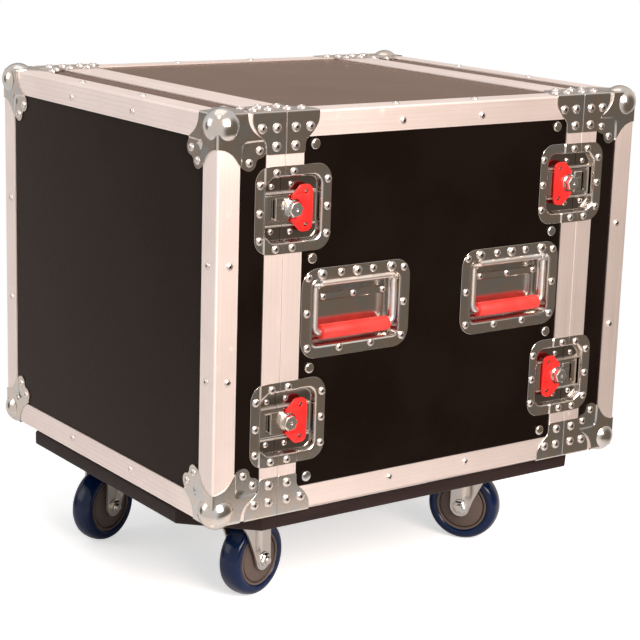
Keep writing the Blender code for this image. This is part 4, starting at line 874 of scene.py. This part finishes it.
def cut_plate(name, outlines, low, high):
    """A flat plate from outlines, the first one filled and the rest cut out, with eased edges."""
    curve = bpy.data.curves.new(name, "CURVE")
    curve.dimensions = "2D"
    curve.fill_mode = "BOTH"
    curve.extrude = (high - low) / 2 - EASED_EDGE
    curve.bevel_depth = EASED_EDGE
    curve.bevel_resolution = 1
    curve.offset = -EASED_EDGE
    for outline in outlines:
        spline = curve.splines.new("POLY")
        spline.points.add(len(outline) - 1)
        flat = np.zeros((len(outline), 4))
        flat[:, :2] = outline
        flat[:, 3] = 1
        spline.points.foreach_set("co", flat.ravel())
        spline.use_cyclic_u = True
    drawn = put(name, curve)
    bpy.context.view_layer.update()
    mesh = bpy.data.meshes.new_from_object(drawn.evaluated_get(bpy.context.evaluated_depsgraph_get()))
    bpy.data.objects.remove(drawn)
    mesh.calc_loop_triangles()
    points = np.zeros((len(mesh.vertices), 3))
    mesh.vertices.foreach_get("co", points.ravel())
    faces = np.zeros((len(mesh.loop_triangles), 3), int)
    mesh.loop_triangles.foreach_get("vertices", faces.ravel())
    points[:, 2] += (low + high) / 2
    bpy.data.meshes.remove(mesh)
    return points, faces


def arc(centre, radius, start, finish, steps):
    """Points at even steps on a circle, from one angle in degrees to another."""
    angle = np.radians(np.linspace(start, finish, steps + 1))
    return np.stack([centre[0] + radius * np.cos(angle), centre[1] + radius * np.sin(angle)], axis=1)


def rounded_box(left, right, low, high, radius, steps=5):
    """A rectangle's outline with a quarter circle at each corner."""
    return np.concatenate([
        arc((right - radius, low + radius), radius, -90, 0, steps),
        arc((right - radius, high - radius), radius, 0, 90, steps),
        arc((left + radius, high - radius), radius, 90, 180, steps),
        arc((left + radius, low + radius), radius, 180, 270, steps),
    ])


HOOK = [
    cut_plate("hook", [
        rounded_box(-0.0365, 0.0345, -HOOK_HALF, HOOK_HALF, 0.0015),
        rounded_box(-0.0287, -0.0227, -0.0113, 0.0113, 0.0010),
        np.concatenate([arc((0, 0), 0.0044, 90, 270, 12), arc((0.007, 0), 0.0044, -90, 90, 12)]),
    ], HOOK_LOW, HOOK_HIGH),
    bar((-0.0222, -0.0133, HOOK_HIGH), (-0.0110, 0.0133, HOOK_BLOCK)),
    bar((-0.0222, -0.0053, HOOK_BLOCK), (-0.0110, 0.0053, HOOK_BLOCK + 0.0003), 0.0001),
]
shoulder = np.concatenate([
    [(0.0267, 0.0)],
    arc((0.0182, 0.0190), 0.0085, 0, 90, 10),
    arc((0.0125, 0.0215), 0.0060, 90, 137, 5),
    arc((0.0003, 0.0148), 0.0021, 137, 215, 5),
    arc((0, 0), 0.0120, 97, 6, 16),
])
wing_outline = np.concatenate([shoulder, shoulder[:0:-1] * [1, -1]])
wing_holes = [arc((0.0177, sign * 0.0193), 0.0028, 0, 345, 23) for sign in (1, -1)]
barrel = turned([
    (0.0, 0.0112), (0.0023, 0.0112), (0.0026, 0.0115), (0.0026, 0.0155), (0.0023, 0.0158), (0.0, 0.0158),
], 20)
wing_low, wing_high = WING_AXIS - WING_SHEET / 2, WING_AXIS + WING_SHEET / 2
WING = [cut_plate("wing", [wing_outline, *wing_holes], wing_low, wing_high)]
for sign in (1, -1):
    WING += seat([barrel], (0, 0, WING_AXIS), (1, 0, 0), (0, 0, 1), (0, sign, 0))
SPINDLE = [
    turned([
        (0.0, HOOK_HIGH), (CAM_RADIUS, HOOK_HIGH), (CAM_RADIUS, CAM_HIGH - 0.0003),
        (CAM_RADIUS - 0.0003, CAM_HIGH), (0.0, CAM_HIGH),
    ], 40),
    turned([
        (0.0094, CAM_HIGH - 0.0001), (0.0094, COLLAR_HIGH - 0.0003), (0.0090, COLLAR_HIGH),
        (0.0, COLLAR_HIGH),
    ], 32),
    turned([
        (HEX_RADIUS, COLLAR_HIGH - 0.0003), (HEX_RADIUS, HEX_TOP - 0.0012), (HEX_RADIUS - 0.0009, HEX_TOP),
        (0.0022, HEX_TOP), (0.0016, HEX_TOP - 0.0007), (0.0, HEX_TOP - 0.0008),
    ], 6, math.radians(10)),
]


def red_finish(name, dark, light, roughness, coat, orange_peel):
    """Red paint or plastic: an even colour with a slightly uneven gloss."""
    material, place = new_finish(name, Coat_Roughness=0.12, Specular_IOR_Level=0.3)
    cloud = place.noise(45.0, 3.0)
    return feed(
        material,
        Base_Color=cloud.smooth(0.3, 0.7).mix((*dark, 1), (*light, 1)),
        Roughness=roughness + 0.12 * cloud,
        Coat_Weight=coat * cloud.smooth(0.1, 0.5),
        Normal=place.noise(700.0, 2.0).bump(orange_peel, 0.0002),
    )


SPINDLE_ZINC = zinc_finish("spindle_zinc", (0.74, 0.70, 0.65), (0.68, 0.70, 0.70), 0.16, 0.36)
RED_PAINT = red_finish("red_paint", (0.73, 0.012, 0.010), (0.81, 0.020, 0.016), 0.34, 0.30, 0.06)
RED_SLEEVE = red_finish("red_sleeve", (0.76, 0.034, 0.026), (0.84, 0.050, 0.040), 0.42, 0.05, 0.15)
for where, end_name, axes in LATCHES:
    for kind, parts, finish, slot, edge in (
        ("hook", HOOK, ZINC, "zinc", 0),
        ("spindle", SPINDLE, SPINDLE_ZINC, "zinc", 0.0002),
        ("wing", WING, RED_PAINT, "red_paint", 0),
    ):
        piece = make_piece(f"{kind}_{where}", seat(parts, *axes), finish, f"{kind}_{where}", edge=edge)
        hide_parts(f"latch_{kind}_{where}")

# Handles: a deep dish with a riveted flange, and a sprung wire bail with a red grip, which hangs in it.
# A riveted strip crosses the dish under the hinge rod.
HANDLE_FROM_MIDDLE = 0.121
HANDLE_HALF = (0.0635, 0.038)
HANDLE_FLANGE = (0.080, 0.05425)
HANDLE_ROUND = 0.0075
HANDLE_FLANGE_ROUND = 0.022
HANDLE_DEPTH = 0.018
HANDLE_RINGS = (
    (1.0, -0.0008), (1.0, -0.0002), (0.985, 0.0), (0.55, 0.0), (0.27, 0.0), (0.24, 0.0001),
    (0.13, 0.0009), (0.09, 0.0011), (0.06, 0.0010), (0.03, 0.0004), (0.01, -0.0006), (0.0, -0.0020),
    (-0.01, -0.0090), (-0.03, -0.0130), (-0.07, -0.0152), (-0.14, -0.0167), (-0.24, -0.0175),
    (-0.34, -0.0177),
)
STRIP_HIGH = -0.0070
BAIL_AXIS = (0.0325, -0.004)
BAIL_HALF = 0.058
BAIL_DROP = 0.0565
BAIL_WIRE = 0.0040
BAIL_BEND = 0.009
BAIL_END = [(0.0532, 0.0030), (0.0536, 0.0042), (0.0618, 0.0042), (0.0622, 0.0036)]
ROD_AT = (0.0362, 0.0004)
ROD_END = [(0.0533, 0.0038), (0.0528, 0.0044), (0.0498, 0.0044), (0.0492, 0.0035)]
GRIP_HALF = 0.0498
GRIP_END = np.array([(0.0040, 0.0), (0.0078, 0.0), (0.0086, 0.0005), (0.0090, 0.0014)])


def handle_dish():
    """Rings from the flange's rim over a rolled lip and down the wall to the floor. A ring lies at a share
    of the way from the dish's opening out to the rim, and at a height from the flange's face."""
    share, height = np.transpose(HANDLE_RINGS)
    half_x, half_y = (inner + share * (outer - inner) for inner, outer in zip(HANDLE_HALF, HANDLE_FLANGE))
    round_by = HANDLE_ROUND + np.maximum(share, -0.1) * (HANDLE_FLANGE_ROUND - HANDLE_ROUND)
    x, y = whole_outline(half_x, half_y, round_by, 8)
    shrink = np.array([0.5, 0.0])[:, None]
    x, y = (np.concatenate([value, shrink * value[-1]]) for value in (x, y))
    return outward(stacked(x, y, [*(FLANGE_LOW + height), -HANDLE_DEPTH, -HANDLE_DEPTH]), (0, 0, 1))


def tube(path, radius, sides=16):
    """A circle carried along a path that lies flat, across Z and the path's own direction."""
    path = np.asarray(path, float)
    ahead = np.gradient(path, axis=0)
    ahead /= np.linalg.norm(ahead, axis=1, keepdims=True)
    upright = np.broadcast_to([0.0, 0.0, 1.0], path.shape)
    beside = np.cross(ahead, upright)
    radius = np.broadcast_to(radius, len(path))[:, None, None]
    turn = np.linspace(0, 2 * math.pi, sides + 1)[None, :, None]
    points = path[:, None] + radius * (np.cos(turn) * upright[:, None] + np.sin(turn) * beside[:, None])
    points = np.concatenate([path[:1, None] + 0 * points[:1], points, path[-1:, None] + 0 * points[-1:]])
    return points.reshape(-1, 3), grid_faces(len(points), sides + 1)


def rod(steps, at=(0.0, 0.0)):
    """A straight round bar along X, from pairs of a place and a radius."""
    place, radius = np.transpose(steps)
    return tube([(x, *at) for x in place], radius)


bends = [
    arc((sign * (BAIL_HALF - BAIL_BEND), BAIL_BEND - BAIL_DROP), BAIL_BEND, start, start + 90, 8)
    for sign, start in ((-1, 180), (1, 270))
]
bail_path = np.concatenate([[(-BAIL_HALF, 0.0)], *bends, [(BAIL_HALF, 0.0)]])
BAIL = [tube(np.pad(bail_path, ((0, 0), (0, 1))), BAIL_WIRE)]
BAIL += [rod([(sign * x, radius) for x, radius in BAIL_END[::sign]]) for sign in (1, -1)]
HINGE_ROD = [rod(ROD_END + [(-x, radius) for x, radius in ROD_END[::-1]], ROD_AT)]
grip_profile = np.concatenate([GRIP_END, GRIP_END[::-1] * [1, -1] + [0, 2 * GRIP_HALF]])
GRIP = seat([turned(grip_profile, 40)], (-GRIP_HALF, -BAIL_DROP, 0), (0, 1, 0), (0, 0, 1), (1, 0, 0))
DISH = [handle_dish()]
STRIP = [bar((-0.049, 0.0130, -HANDLE_DEPTH), (0.049, 0.0225, STRIP_HIGH), 0.0008)]
QUARTERS = [
    (f"{end_name}_{side_name}", side, end)
    for side_name, side in SIDES.items()
    for end_name, end in ENDS.items()
]
HANDLES = []
for where, side, end in QUARTERS:
    origin = np.array((side * HALF_WIDTH, end * HANDLE_FROM_MIDDLE, CASE_MIDDLE))
    axes = (origin, (0, side, 0), (0, 0, 1), (side, 0, 0))
    hinge = (origin + (side * BAIL_AXIS[1], 0, BAIL_AXIS[0]), *axes[1:])
    HANDLES.append(axes)
    dish = make_piece(f"dish_{where}", seat(DISH, *axes), ZINC, "case", wall=DISH_SHEET)
    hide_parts(f"handle_dish_{where}")
    make_piece(f"dish_strip_{where}", seat(STRIP, *axes), ZINC, "case")
    make_piece(f"hinge_rod_{where}", seat(HINGE_ROD, *axes), BAIL_ZINC, "case")
    wire = make_piece(f"bail_{where}", seat(BAIL, *hinge), BAIL_ZINC, f"bail_{where}")
    grip = make_piece(f"grip_{where}", seat(GRIP, *hinge), RED_SLEEVE, f"bail_{where}")
    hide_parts(f"handle_bail_{where}")
    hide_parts(f"handle_bail_{where}")

# Rack rails: folded steel angles down the inside of each end of the body, ten units high, with three
# tapped holes to a unit. Domed bolts through the side panels hold them.
RAIL_FRONT = 0.200
RAIL_DEPTH = 0.022
RAIL_NOTCH = (0.014, 0.0432)
RAIL_WALL = 0.002
RAIL_ACROSS = (0.225, 0.2549)
RAIL_HALF = 0.22225
RACK_UNITS = 10
RACK_UNIT = 0.04445
UNIT_HOLES = (0.00635, 0.022225, 0.0381)
HOLE_ACROSS = 0.00755
HOLE_RADIUS = 0.0028
BOLT_HEIGHTS = (0.041, 0.175, 0.307, 0.441)
BOLT_FROM_MIDDLE = 0.187
BOLT_RADIUS = 0.00675
BOLT_SEAT = -0.0015
BOLT_PROFILE = (
    (1.0, -0.04), (1.0, 0.10), (0.96, 0.22), (0.88, 0.32), (0.76, 0.39), (0.55, 0.435), (0.30, 0.45),
    (0.0, 0.455),
)


def repeated(profile, sides, places):
    """A turned profile at each place. A place is a centre, a radius and the direction it faces."""
    one, faces = turned(profile, sides)
    centre, radius, out = (np.array(values, float) for values in zip(*places))
    first = np.roll(out, 1, axis=1)
    axes = np.stack([first, np.cross(out, first), out], axis=1)
    points = centre[:, None] + radius[:, None, None] * (one[None] @ axes)
    shift = np.arange(len(places))[:, None, None] * len(one)
    return points.reshape(-1, 3), (faces[None] + shift).reshape(-1, 4)


def rail_steel_finish():
    """Black powder coat: a fine orange peel with a dull sheen."""
    material, place = new_finish("rail_powder_coat", Specular_IOR_Level=0.45)
    grain = place.noise(1400.0, 2.0)
    return feed(
        material,
        Base_Color=place.noise(20.0, 3.0).mix((0.010, 0.010, 0.011, 1), (0.018, 0.017, 0.017, 1)),
        Roughness=0.36 + 0.2 * grain,
        Normal=grain.bump(0.35, 0.0002),
    )


rail_holes = [
    arc((HOLE_ACROSS, unit * RACK_UNIT + hole - RAIL_HALF), HOLE_RADIUS, 0, 330, 11)
    for unit in range(RACK_UNITS)
    for hole in UNIT_HOLES
]
rail_outline = rounded_box(0, RAIL_ACROSS[1] - RAIL_ACROSS[0], -RAIL_HALF, RAIL_HALF, 0.002, 3)
RAIL_FACE = [cut_plate("rail_face", [rail_outline, *rail_holes], -RAIL_WALL, 0.0)]
notch_depth, notch_half = RAIL_NOTCH
leg_half = [(0.0, RAIL_HALF), (RAIL_DEPTH, RAIL_HALF), (RAIL_DEPTH, notch_half), (notch_depth, notch_half)]
leg_outline = [(x, -y) for x, y in leg_half] + leg_half[::-1]
RAIL_LEG = [cut_plate("rail_leg", [leg_outline], -RAIL_WALL, 0.0)]
RAIL_STEEL = rail_steel_finish()
rail_bolts = []
for where, side, end in QUARTERS:
    face_at, leg_at = ((side * across, end * RAIL_FRONT, CASE_MIDDLE) for across in RAIL_ACROSS)
    parts = seat(RAIL_FACE, face_at, (side, 0, 0), (0, 0, 1), (0, end, 0))
    parts += seat(RAIL_LEG, leg_at, (0, -end, 0), (0, 0, 1), (side, 0, 0))
    rail = make_piece(f"rail_{where}", parts, RAIL_STEEL, "case")
    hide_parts(f"rack_rail_{where}")
    x, y = side * (HALF_WIDTH + BOLT_SEAT), end * BOLT_FROM_MIDDLE
    rail_bolts += [((x, y, CASE_BASE + height), BOLT_RADIUS, (side, 0, 0)) for height in BOLT_HEIGHTS]
make_piece("rail_bolts", [repeated(BOLT_PROFILE, 24, rail_bolts)], ZINC, "case", sharp=60)

# Caster board: thick birch plywood with its corners cut off, eased along its edges and stained a dark
# red-brown. It is screwed up under the case.
BOARD_HALF = (0.258, 0.319)
BOARD_CUT = 0.075
BOARD_LOW = 0.133
BOARD_HIGH = 0.1525
BOARD_EASE = 0.0032
PLY = 0.0015


def board_shell():
    """Rings of an eight-sided outline. A ring is set in from the full outline and has its own height."""
    turn = np.linspace(0, math.pi / 2, 5)
    inset = BOARD_EASE * (1 - np.sin(turn))
    rise = BOARD_EASE * (1 - np.cos(turn))
    inset = np.r_[inset, inset[::-1]]
    height = np.r_[BOARD_LOW + rise, BOARD_HIGH - rise[::-1]]
    corner_cut = BOARD_CUT - inset * (2 - math.sqrt(2))
    far_x, far_y = BOARD_HALF[0] - inset, BOARD_HALF[1] - inset
    near_x, near_y = far_x - corner_cut, far_y - corner_cut
    x = np.stack([far_x, near_x, -near_x, -far_x, -far_x, -near_x, near_x, far_x, far_x], axis=1)
    y = np.stack([near_y, far_y, far_y, near_y, -near_y, -far_y, -far_y, -near_y, near_y], axis=1)
    points = stacked(x, y, height)
    points = np.concatenate([points[:1] * [0, 0, 1], points, points[-1:] * [0, 0, 1]])
    return points.reshape(-1, 3), grid_faces(*points.shape[:2])


def stained_ply_finish():
    """Stain soaks in unevenly along the grain, and the plies show as bands up the edge."""
    material, place = new_finish("stained_plywood", Specular_IOR_Level=0.2)
    grain = place.stretched((60.0, 9.0, 60.0)).noise(1.0, 5.0, 0.65)
    pores = place.stretched((420.0, 60.0, 420.0)).noise(1.0, 3.0)
    ply = place.part(2).maths("FRACT", (place.part(2) + 0.0006 * grain) * (1 / (2 * PLY)))
    band = ply.smooth(0.35, 0.55)
    deep = grain.mix((0.006, 0.0028, 0.0023, 1), (0.020, 0.0096, 0.0080, 1))
    pale = grain.mix((0.008, 0.0038, 0.0031, 1), (0.030, 0.0150, 0.0122, 1))
    return feed(
        material,
        Base_Color=band.mix(deep, pale),
        Roughness=0.42 + 0.25 * pores,
        Normal=(pores + 0.8 * band).bump(0.35, 0.0004),
    )


board = make_piece("board_shell", [board_shell()], stained_ply_finish(), "case", sharp=30)
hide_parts("caster_board")

# Casters: a pressed top plate with a ball race, a fork folded from one sheet with a pressed channel down
# each leg, and a blue polyurethane tyre on a grey-brown nylon hub that turns on a bolt.
CASTER_AT = (0.1465, 0.210)
TRAIL = 0.0344
TRAIL_ANGLES = {"front_right": 108, "front_left": -70, "rear_right": -147.5, "rear_left": -60}
WHEEL = 0.050
PLATE_TOP = 0.1327
PLATE_LOW = 0.1297
PLATE_RINGS = (
    (0.001, 0.001, 0.0005, PLATE_LOW), (0.042, 0.051, 0.008, PLATE_LOW),
    (0.042, 0.051, 0.008, PLATE_TOP), (0.001, 0.001, 0.0005, PLATE_TOP),
)
RACE = (
    (0.030, 0.1300), (0.0318, 0.1290), (0.0318, 0.1270), (0.0305, 0.1245), (0.0280, 0.1228), (0.0225, 0.1222),
    (0.0, 0.1222),
)
CROWN = (
    (0.0, 0.1218), (0.0265, 0.1218), (0.0290, 0.1210), (0.0305, 0.1190), (0.0305, 0.1165), (0.0290, 0.1140),
    (0.0240, 0.1128), (0.0125, 0.1128), (0.0115, 0.1122), (0.0, 0.1122),
)
FORK_TOP = 0.1188
FORK_OUT = 0.0211
FORK_WALL = 0.0029
FORK_BEND = 0.0045
LEG_END = 0.0142
LEG_REAR = ((0.0420, 0.0600, 0.0900, 0.1070, FORK_TOP), (0.0226, 0.0165, 0.0020, -0.0120, -0.0190))
LEG_FRONT = ((0.0500, 0.1080, FORK_TOP), (0.0486, 0.0470, 0.0400))
CHANNEL_AT = 0.0240
CHANNEL_SIDE = 0.0045
CHANNEL_LOW = 0.060
CHANNEL_DEPTH = 0.0022
NUT_LOW = FORK_OUT - 0.0005
NUT_HIGH = 0.0262
WASHER_LOW = FORK_OUT - 0.0004
WASHER_HIGH = FORK_OUT + 0.0012
TOP_BOLT_AT = (0.032, 0.040)
TOP_BOLT_RADIUS = 0.0075
TYRE_PROFILE = (
    (0.0358, 0.0136), (0.0366, 0.0146), (0.0385, 0.0154), (0.0415, 0.0157), (0.0442, 0.0150),
    (0.0464, 0.0134), (0.0481, 0.0108), (0.0492, 0.0074), (0.0498, 0.0036), (0.0500, 0.0),
)
HUB_PROFILE = (
    (0.0070, 0.0177), (0.0102, 0.0177), (0.0110, 0.0171), (0.0113, 0.0146), (0.0122, 0.0140),
    (0.0298, 0.0140), (0.0306, 0.0134), (0.0309, 0.0108), (0.0322, 0.0108), (0.0325, 0.0140),
    (0.0332, 0.0147), (0.0352, 0.0147), (0.0358, 0.0140), (0.0358, 0.0130),
)


def fork_sheet():
    """One sheet folded over the wheel. Rows climb a leg, cross the top and go down the other leg, and a
    row runs between the leg's two edges at its height. Below the axle those edges are a circle's."""
    around = np.linspace(0, math.pi / 2, 7)[:-1]
    bend = np.linspace(0, math.pi / 2, 5)[1:]
    shoulder_at = FORK_TOP - FORK_BEND
    height = np.concatenate([
        WHEEL - LEG_END * np.cos(around), [0.0500, 0.0524, 0.0560, 0.0600],
        np.linspace(0.064, shoulder_at, 14), shoulder_at + FORK_BEND * np.sin(bend),
    ])
    out = np.full(len(height), FORK_OUT)
    out[-4:] = FORK_OUT - FORK_BEND + FORK_BEND * np.cos(bend)
    reach = np.sqrt(np.clip(LEG_END**2 - (height - WHEEL) ** 2, 0, None))
    rear = np.where(height < LEG_REAR[0][0], TRAIL - reach, np.interp(height, *LEG_REAR))
    front = np.where(height < LEG_FRONT[0][0], TRAIL + reach, np.interp(height, *LEG_FRONT))
    x = rear[:, None] + np.linspace(0, 1, 31) * (front - rear)[:, None]
    along = eased((height - CHANNEL_LOW) / 0.008) * eased((shoulder_at - height) / 0.003)
    channel = eased(1.6 - np.abs(x - CHANNEL_AT) / CHANNEL_SIDE) * along[:, None]
    leg = stacked(x, out[:, None] - CHANNEL_DEPTH * channel, height)
    return outward(np.concatenate([leg, leg[::-1] * [1, -1, 1]]), (0, 0, 1))


def both_faces(profile, sides):
    """A profile of one half of a wheel, turned, with its mirror image for the other half."""
    points, faces = turned(profile, sides)
    return [(points, faces), (points * [1, 1, -1], faces[:, ::-1])]


def tyre_finish():
    """Cast polyurethane: deep blue, glossy at the shoulders and scuffed dull along the tread."""
    material, place = new_finish("blue_polyurethane", Coat_Roughness=0.05, Specular_IOR_Level=0.16)
    cloud = place.noise(60.0, 4.0)
    dust = place.noise(260.0, 5.0, 0.7).smooth(0.58, 0.76)
    return feed(
        material,
        Base_Color=(0.25 * dust).mix(
            cloud.mix((0.0012, 0.0075, 0.034, 1), (0.0022, 0.0125, 0.052, 1)),
            cloud.mix((0.02, 0.022, 0.04, 1), (0.03, 0.03, 0.05, 1)),
        ),
        Roughness=0.14 + 0.12 * cloud + 0.22 * dust,
        Coat_Weight=0.22 - 0.2 * dust,
        Normal=cloud.bump(0.08, 0.0005),
    )


def hub_finish():
    """Moulded nylon: grey-brown, dull and faintly speckled."""
    material, place = new_finish("grey_nylon", Specular_IOR_Level=0.4)
    speck = place.noise(900.0, 3.0)
    return feed(
        material,
        Base_Color=place.noise(50.0, 3.0).mix((0.075, 0.054, 0.044, 1), (0.110, 0.080, 0.066, 1)),
        Roughness=0.42 + 0.2 * speck,
        Normal=speck.bump(0.2, 0.0002),
    )


FORK = [fork_sheet()]
AXLE = [
    turned([
        (0.0, NUT_LOW), (0.0090, NUT_LOW), (0.0090, NUT_HIGH - 0.0010), (0.0078, NUT_HIGH), (0.0, NUT_HIGH),
    ], 6),
    turned([(0.0066, NUT_HIGH), (0.0064, 0.0268), (0.0, 0.0268)], 28),
    turned([(0.0049, 0.0260), (0.0049, 0.0288), (0.0042, 0.0296), (0.0, 0.0296)], 28),
    turned([
        (0.0105, WASHER_LOW), (0.0105, WASHER_HIGH - 0.0003), (0.0098, WASHER_HIGH), (0.0, WASHER_HIGH),
    ], 32),
]
TYRE_HALVES = both_faces(TYRE_PROFILE, 96)
HUB_HALVES = both_faces(HUB_PROFILE, 72)
half_x, half_y, round_by, height = np.transpose(PLATE_RINGS)
plate_grid = stacked(*whole_outline(half_x, half_y, round_by, 5), height)
plate_bolts = [
    ((x * TOP_BOLT_AT[0], y * TOP_BOLT_AT[1], PLATE_LOW), TOP_BOLT_RADIUS, (0, 0, -1))
    for x in (-1, 1)
    for y in (-1, 1)
]
TOP_PLATE = [
    outward(plate_grid[:2], (0, 0, -1)), outward(plate_grid[1:], (0, 0, 1)),
    turned(RACE, 40), repeated(BOLT_PROFILE, 16, plate_bolts),
]
TYRE = tyre_finish()
HUB = hub_finish()
FORK_ZINC = zinc_finish("dull_zinc", (0.60, 0.55, 0.50), (0.54, 0.55, 0.55), 0.26, 0.48)
for where, side, end in QUARTERS:
    trail = math.radians(TRAIL_ANGLES[where])
    ahead = np.array((math.cos(trail), math.sin(trail), 0))
    beside = np.array((-math.sin(trail), math.cos(trail), 0))
    swivel = np.array((side * CASTER_AT[0], end * CASTER_AT[1], 0.0))
    turned_with = (swivel, ahead, beside, (0, 0, 1))
    axle_at = swivel + TRAIL * ahead + [0, 0, WHEEL]
    wheel_axes = (axle_at, ahead, (0, 0, 1), beside)
    axle_parts = seat([turned(CROWN, 40)], *turned_with)
    for sign in (1, -1):
        axle_parts += seat(AXLE, *wheel_axes[:3], sign * beside)
    plate_parts = seat(TOP_PLATE, swivel, (1, 0, 0), (0, 1, 0), (0, 0, 1))
    plate = make_piece(f"top_plate_{where}", plate_parts, FORK_ZINC, "case")
    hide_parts(f"caster_plate_{where}")
    fork = make_piece(
        f"fork_{where}", seat(FORK, *turned_with), FORK_ZINC, f"fork_{where}",
        wall=FORK_WALL, edge=0.0004,
    )
    axle = make_piece(f"axle_{where}", axle_parts, ZINC, f"fork_{where}")
    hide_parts(f"caster_fork_{where}")
    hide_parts(f"caster_fork_{where}")
    tyre = make_piece(f"tyre_{where}", seat(TYRE_HALVES, *wheel_axes), TYRE, f"wheel_{where}")
    hub = make_piece(f"hub_{where}", seat(HUB_HALVES, *wheel_axes), HUB, f"wheel_{where}")
    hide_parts(f"caster_wheel_{where}")
    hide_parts(f"caster_wheel_{where}")

# Rivets: blind aluminium rivets through the edging, braces, corners and dishes. Each is a dome with a
# hole where the stem broke off, and the stem's end down the hole is painted near-black as the hole's shade.
RIVET_PROFILE = (
    (1.0, -0.10), (1.0, 0.08), (0.94, 0.20), (0.79, 0.33), (0.58, 0.43), (0.40, 0.47), (0.30, 0.46),
    (0.26, 0.28),
)
STEM_PROFILE = ((0.27, 0.26), (0.17, 0.285), (0.0, 0.29))
PLATE_RIVET = 0.0060
CORNER_RIVET = 0.0050
EDGE_RIVET = 0.0046
DISH_RIVET = 0.0037
HANDLE_RIVET = 0.0065
STRIP_RIVET = 0.0043
LATCH_RIVETS = {
    "body": (
        (-0.0022, 0.0438, PLATE), (-0.0022, -0.0448, PLATE), (0.0472, 0.032, FLANGE_LOW),
        (0.0472, 0.0, FLANGE_LOW), (0.0472, -0.032, FLANGE_LOW),
    ),
    "lid": (
        (-0.0255, 0.0430, PLATE), (-0.0255, -0.0448, PLATE), (-0.0467, 0.030, FLANGE_LOW),
        (-0.0467, -0.0025, FLANGE_LOW), (-0.0467, -0.034, FLANGE_LOW),
    ),
}
GUIDE_RIVETS = {"body": (0.0006, 0.0276), "lid": (-0.0262, 0.0262)}
HANDLE_RIVETS = ((0.0705, 0.0438), (0.0715, 0.001), (0.0700, -0.041), (0.0235, 0.047), (0.0235, -0.0445))


def edge_rivets():
    """Rivets near one corner of the case, for its body and its lid: a radius, the axis that the rivet
    looks along and its distances in from the case's faces along X, Y and Z."""
    beyond = HALF_DEPTH - SEAM
    body, lid = [], []
    for along, drop in ((0.013, 0.018), (0.033, 0.018), (0.013, 0.039)):
        for rivets, reach in ((body, beyond + along), (lid, beyond - along)):
            rivets += [(PLATE_RIVET, 0, (-PLATE, reach, drop)), (PLATE_RIVET, 2, (drop, reach, -PLATE))]
    for u, v in ((0.056, 0.0425), (0.0425, 0.056)):
        lid += [
            (CORNER_RIVET, axis, inset)
            for axis, inset in enumerate(((-FLANGE_LOW, u, v), (u, -FLANGE_LOW, v), (u, v, -FLANGE_LOW)))
        ]
    lid += [
        (EDGE_RIVET, 0, (0, 0.0185, 0.172)), (EDGE_RIVET, 1, (0.017, 0, 0.172)),
        (EDGE_RIVET, 1, (0.190, 0, 0.0178)), (EDGE_RIVET, 2, (0.191, 0.015, 0)),
    ]
    body += [(EDGE_RIVET, 0, (0, 0.259, 0.0185)), (EDGE_RIVET, 2, (0.016, 0.259, 0))]
    return body, lid


def flush(axes, radius, places):
    """Rivets of one size at places in local axes, which look outwards."""
    origin, *directions = axes
    return [(place, radius, axes[3]) for place in np.array(places) @ np.array(directions) + origin]


riveted = {"case": [], "front_lid": [], "rear_lid": []}
for side, top in EDGES:
    for end_name, end in ENDS.items():
        corner, inward = case_corner(side, end, top)
        for body, rivets in zip(("case", f"{end_name}_lid"), edge_rivets()):
            riveted[body] += [
                (corner + inward * inset, radius, np.eye(3)[axis] * -inward) for radius, axis, inset in rivets
            ]
for where, end_name, axes in LATCHES:
    for body, half in (("case", "body"), (f"{end_name}_lid", "lid")):
        x, y = GUIDE_RIVETS[half]
        riveted[body] += flush(axes, CORNER_RIVET, LATCH_RIVETS[half])
        riveted[body] += flush(axes, DISH_RIVET, [(x, y, DISH_FLOOR), (x, -y, DISH_FLOOR)])
for axes in HANDLES:
    small = [(sign * x, y, FLANGE_LOW) for sign in (1, -1) for x, y in HANDLE_RIVETS]
    big = [(x, 0.0465, FLANGE_LOW + 0.0004) for x in (-0.051, 0.0, 0.051)]
    on_strip = [(x, 0.0177, STRIP_HIGH) for x in (-0.044, 0.0, 0.044)]
    for radius, places in ((CORNER_RIVET, small), (HANDLE_RIVET, big), (STRIP_RIVET, on_strip)):
        riveted["case"] += flush(axes, radius, places)


def rivet_finish():
    """Soft aluminium, lightly clouded."""
    material, place = new_finish("rivet_aluminium", Metallic=1.0)
    cloud = place.noise(300.0, 2.0)
    tone = cloud.smooth(0.35, 0.65).mix((0.66, 0.60, 0.57, 1), (0.80, 0.75, 0.72, 1))
    return feed(material, Base_Color=tone, Roughness=0.22 + 0.18 * cloud)


def stem_shade_finish():
    """Broken steel, speckled, and painted near-black as the shade down the rivet's hole."""
    material, place = new_finish("broken_stem_painted_shade", Metallic=1.0)
    speck = place.noise(1500.0, 2.0)
    tone = speck.mix((0.010, 0.009, 0.008, 1), (0.05, 0.045, 0.04, 1))
    return feed(material, Base_Color=tone, Roughness=0.5 + 0.3 * speck)


RIVET_METAL = rivet_finish()
SHADED_STEM_METAL = stem_shade_finish()
for body, places in riveted.items():
    make_piece(f"{body}_rivets", [repeated(RIVET_PROFILE, 14, places)], RIVET_METAL, body, sharp=60)
    # The stems' near-black colour is painted shade in the rivets' holes.
    make_piece(f"{body}_rivet_stems", [repeated(STEM_PROFILE, 10, places)], SHADED_STEM_METAL, body)
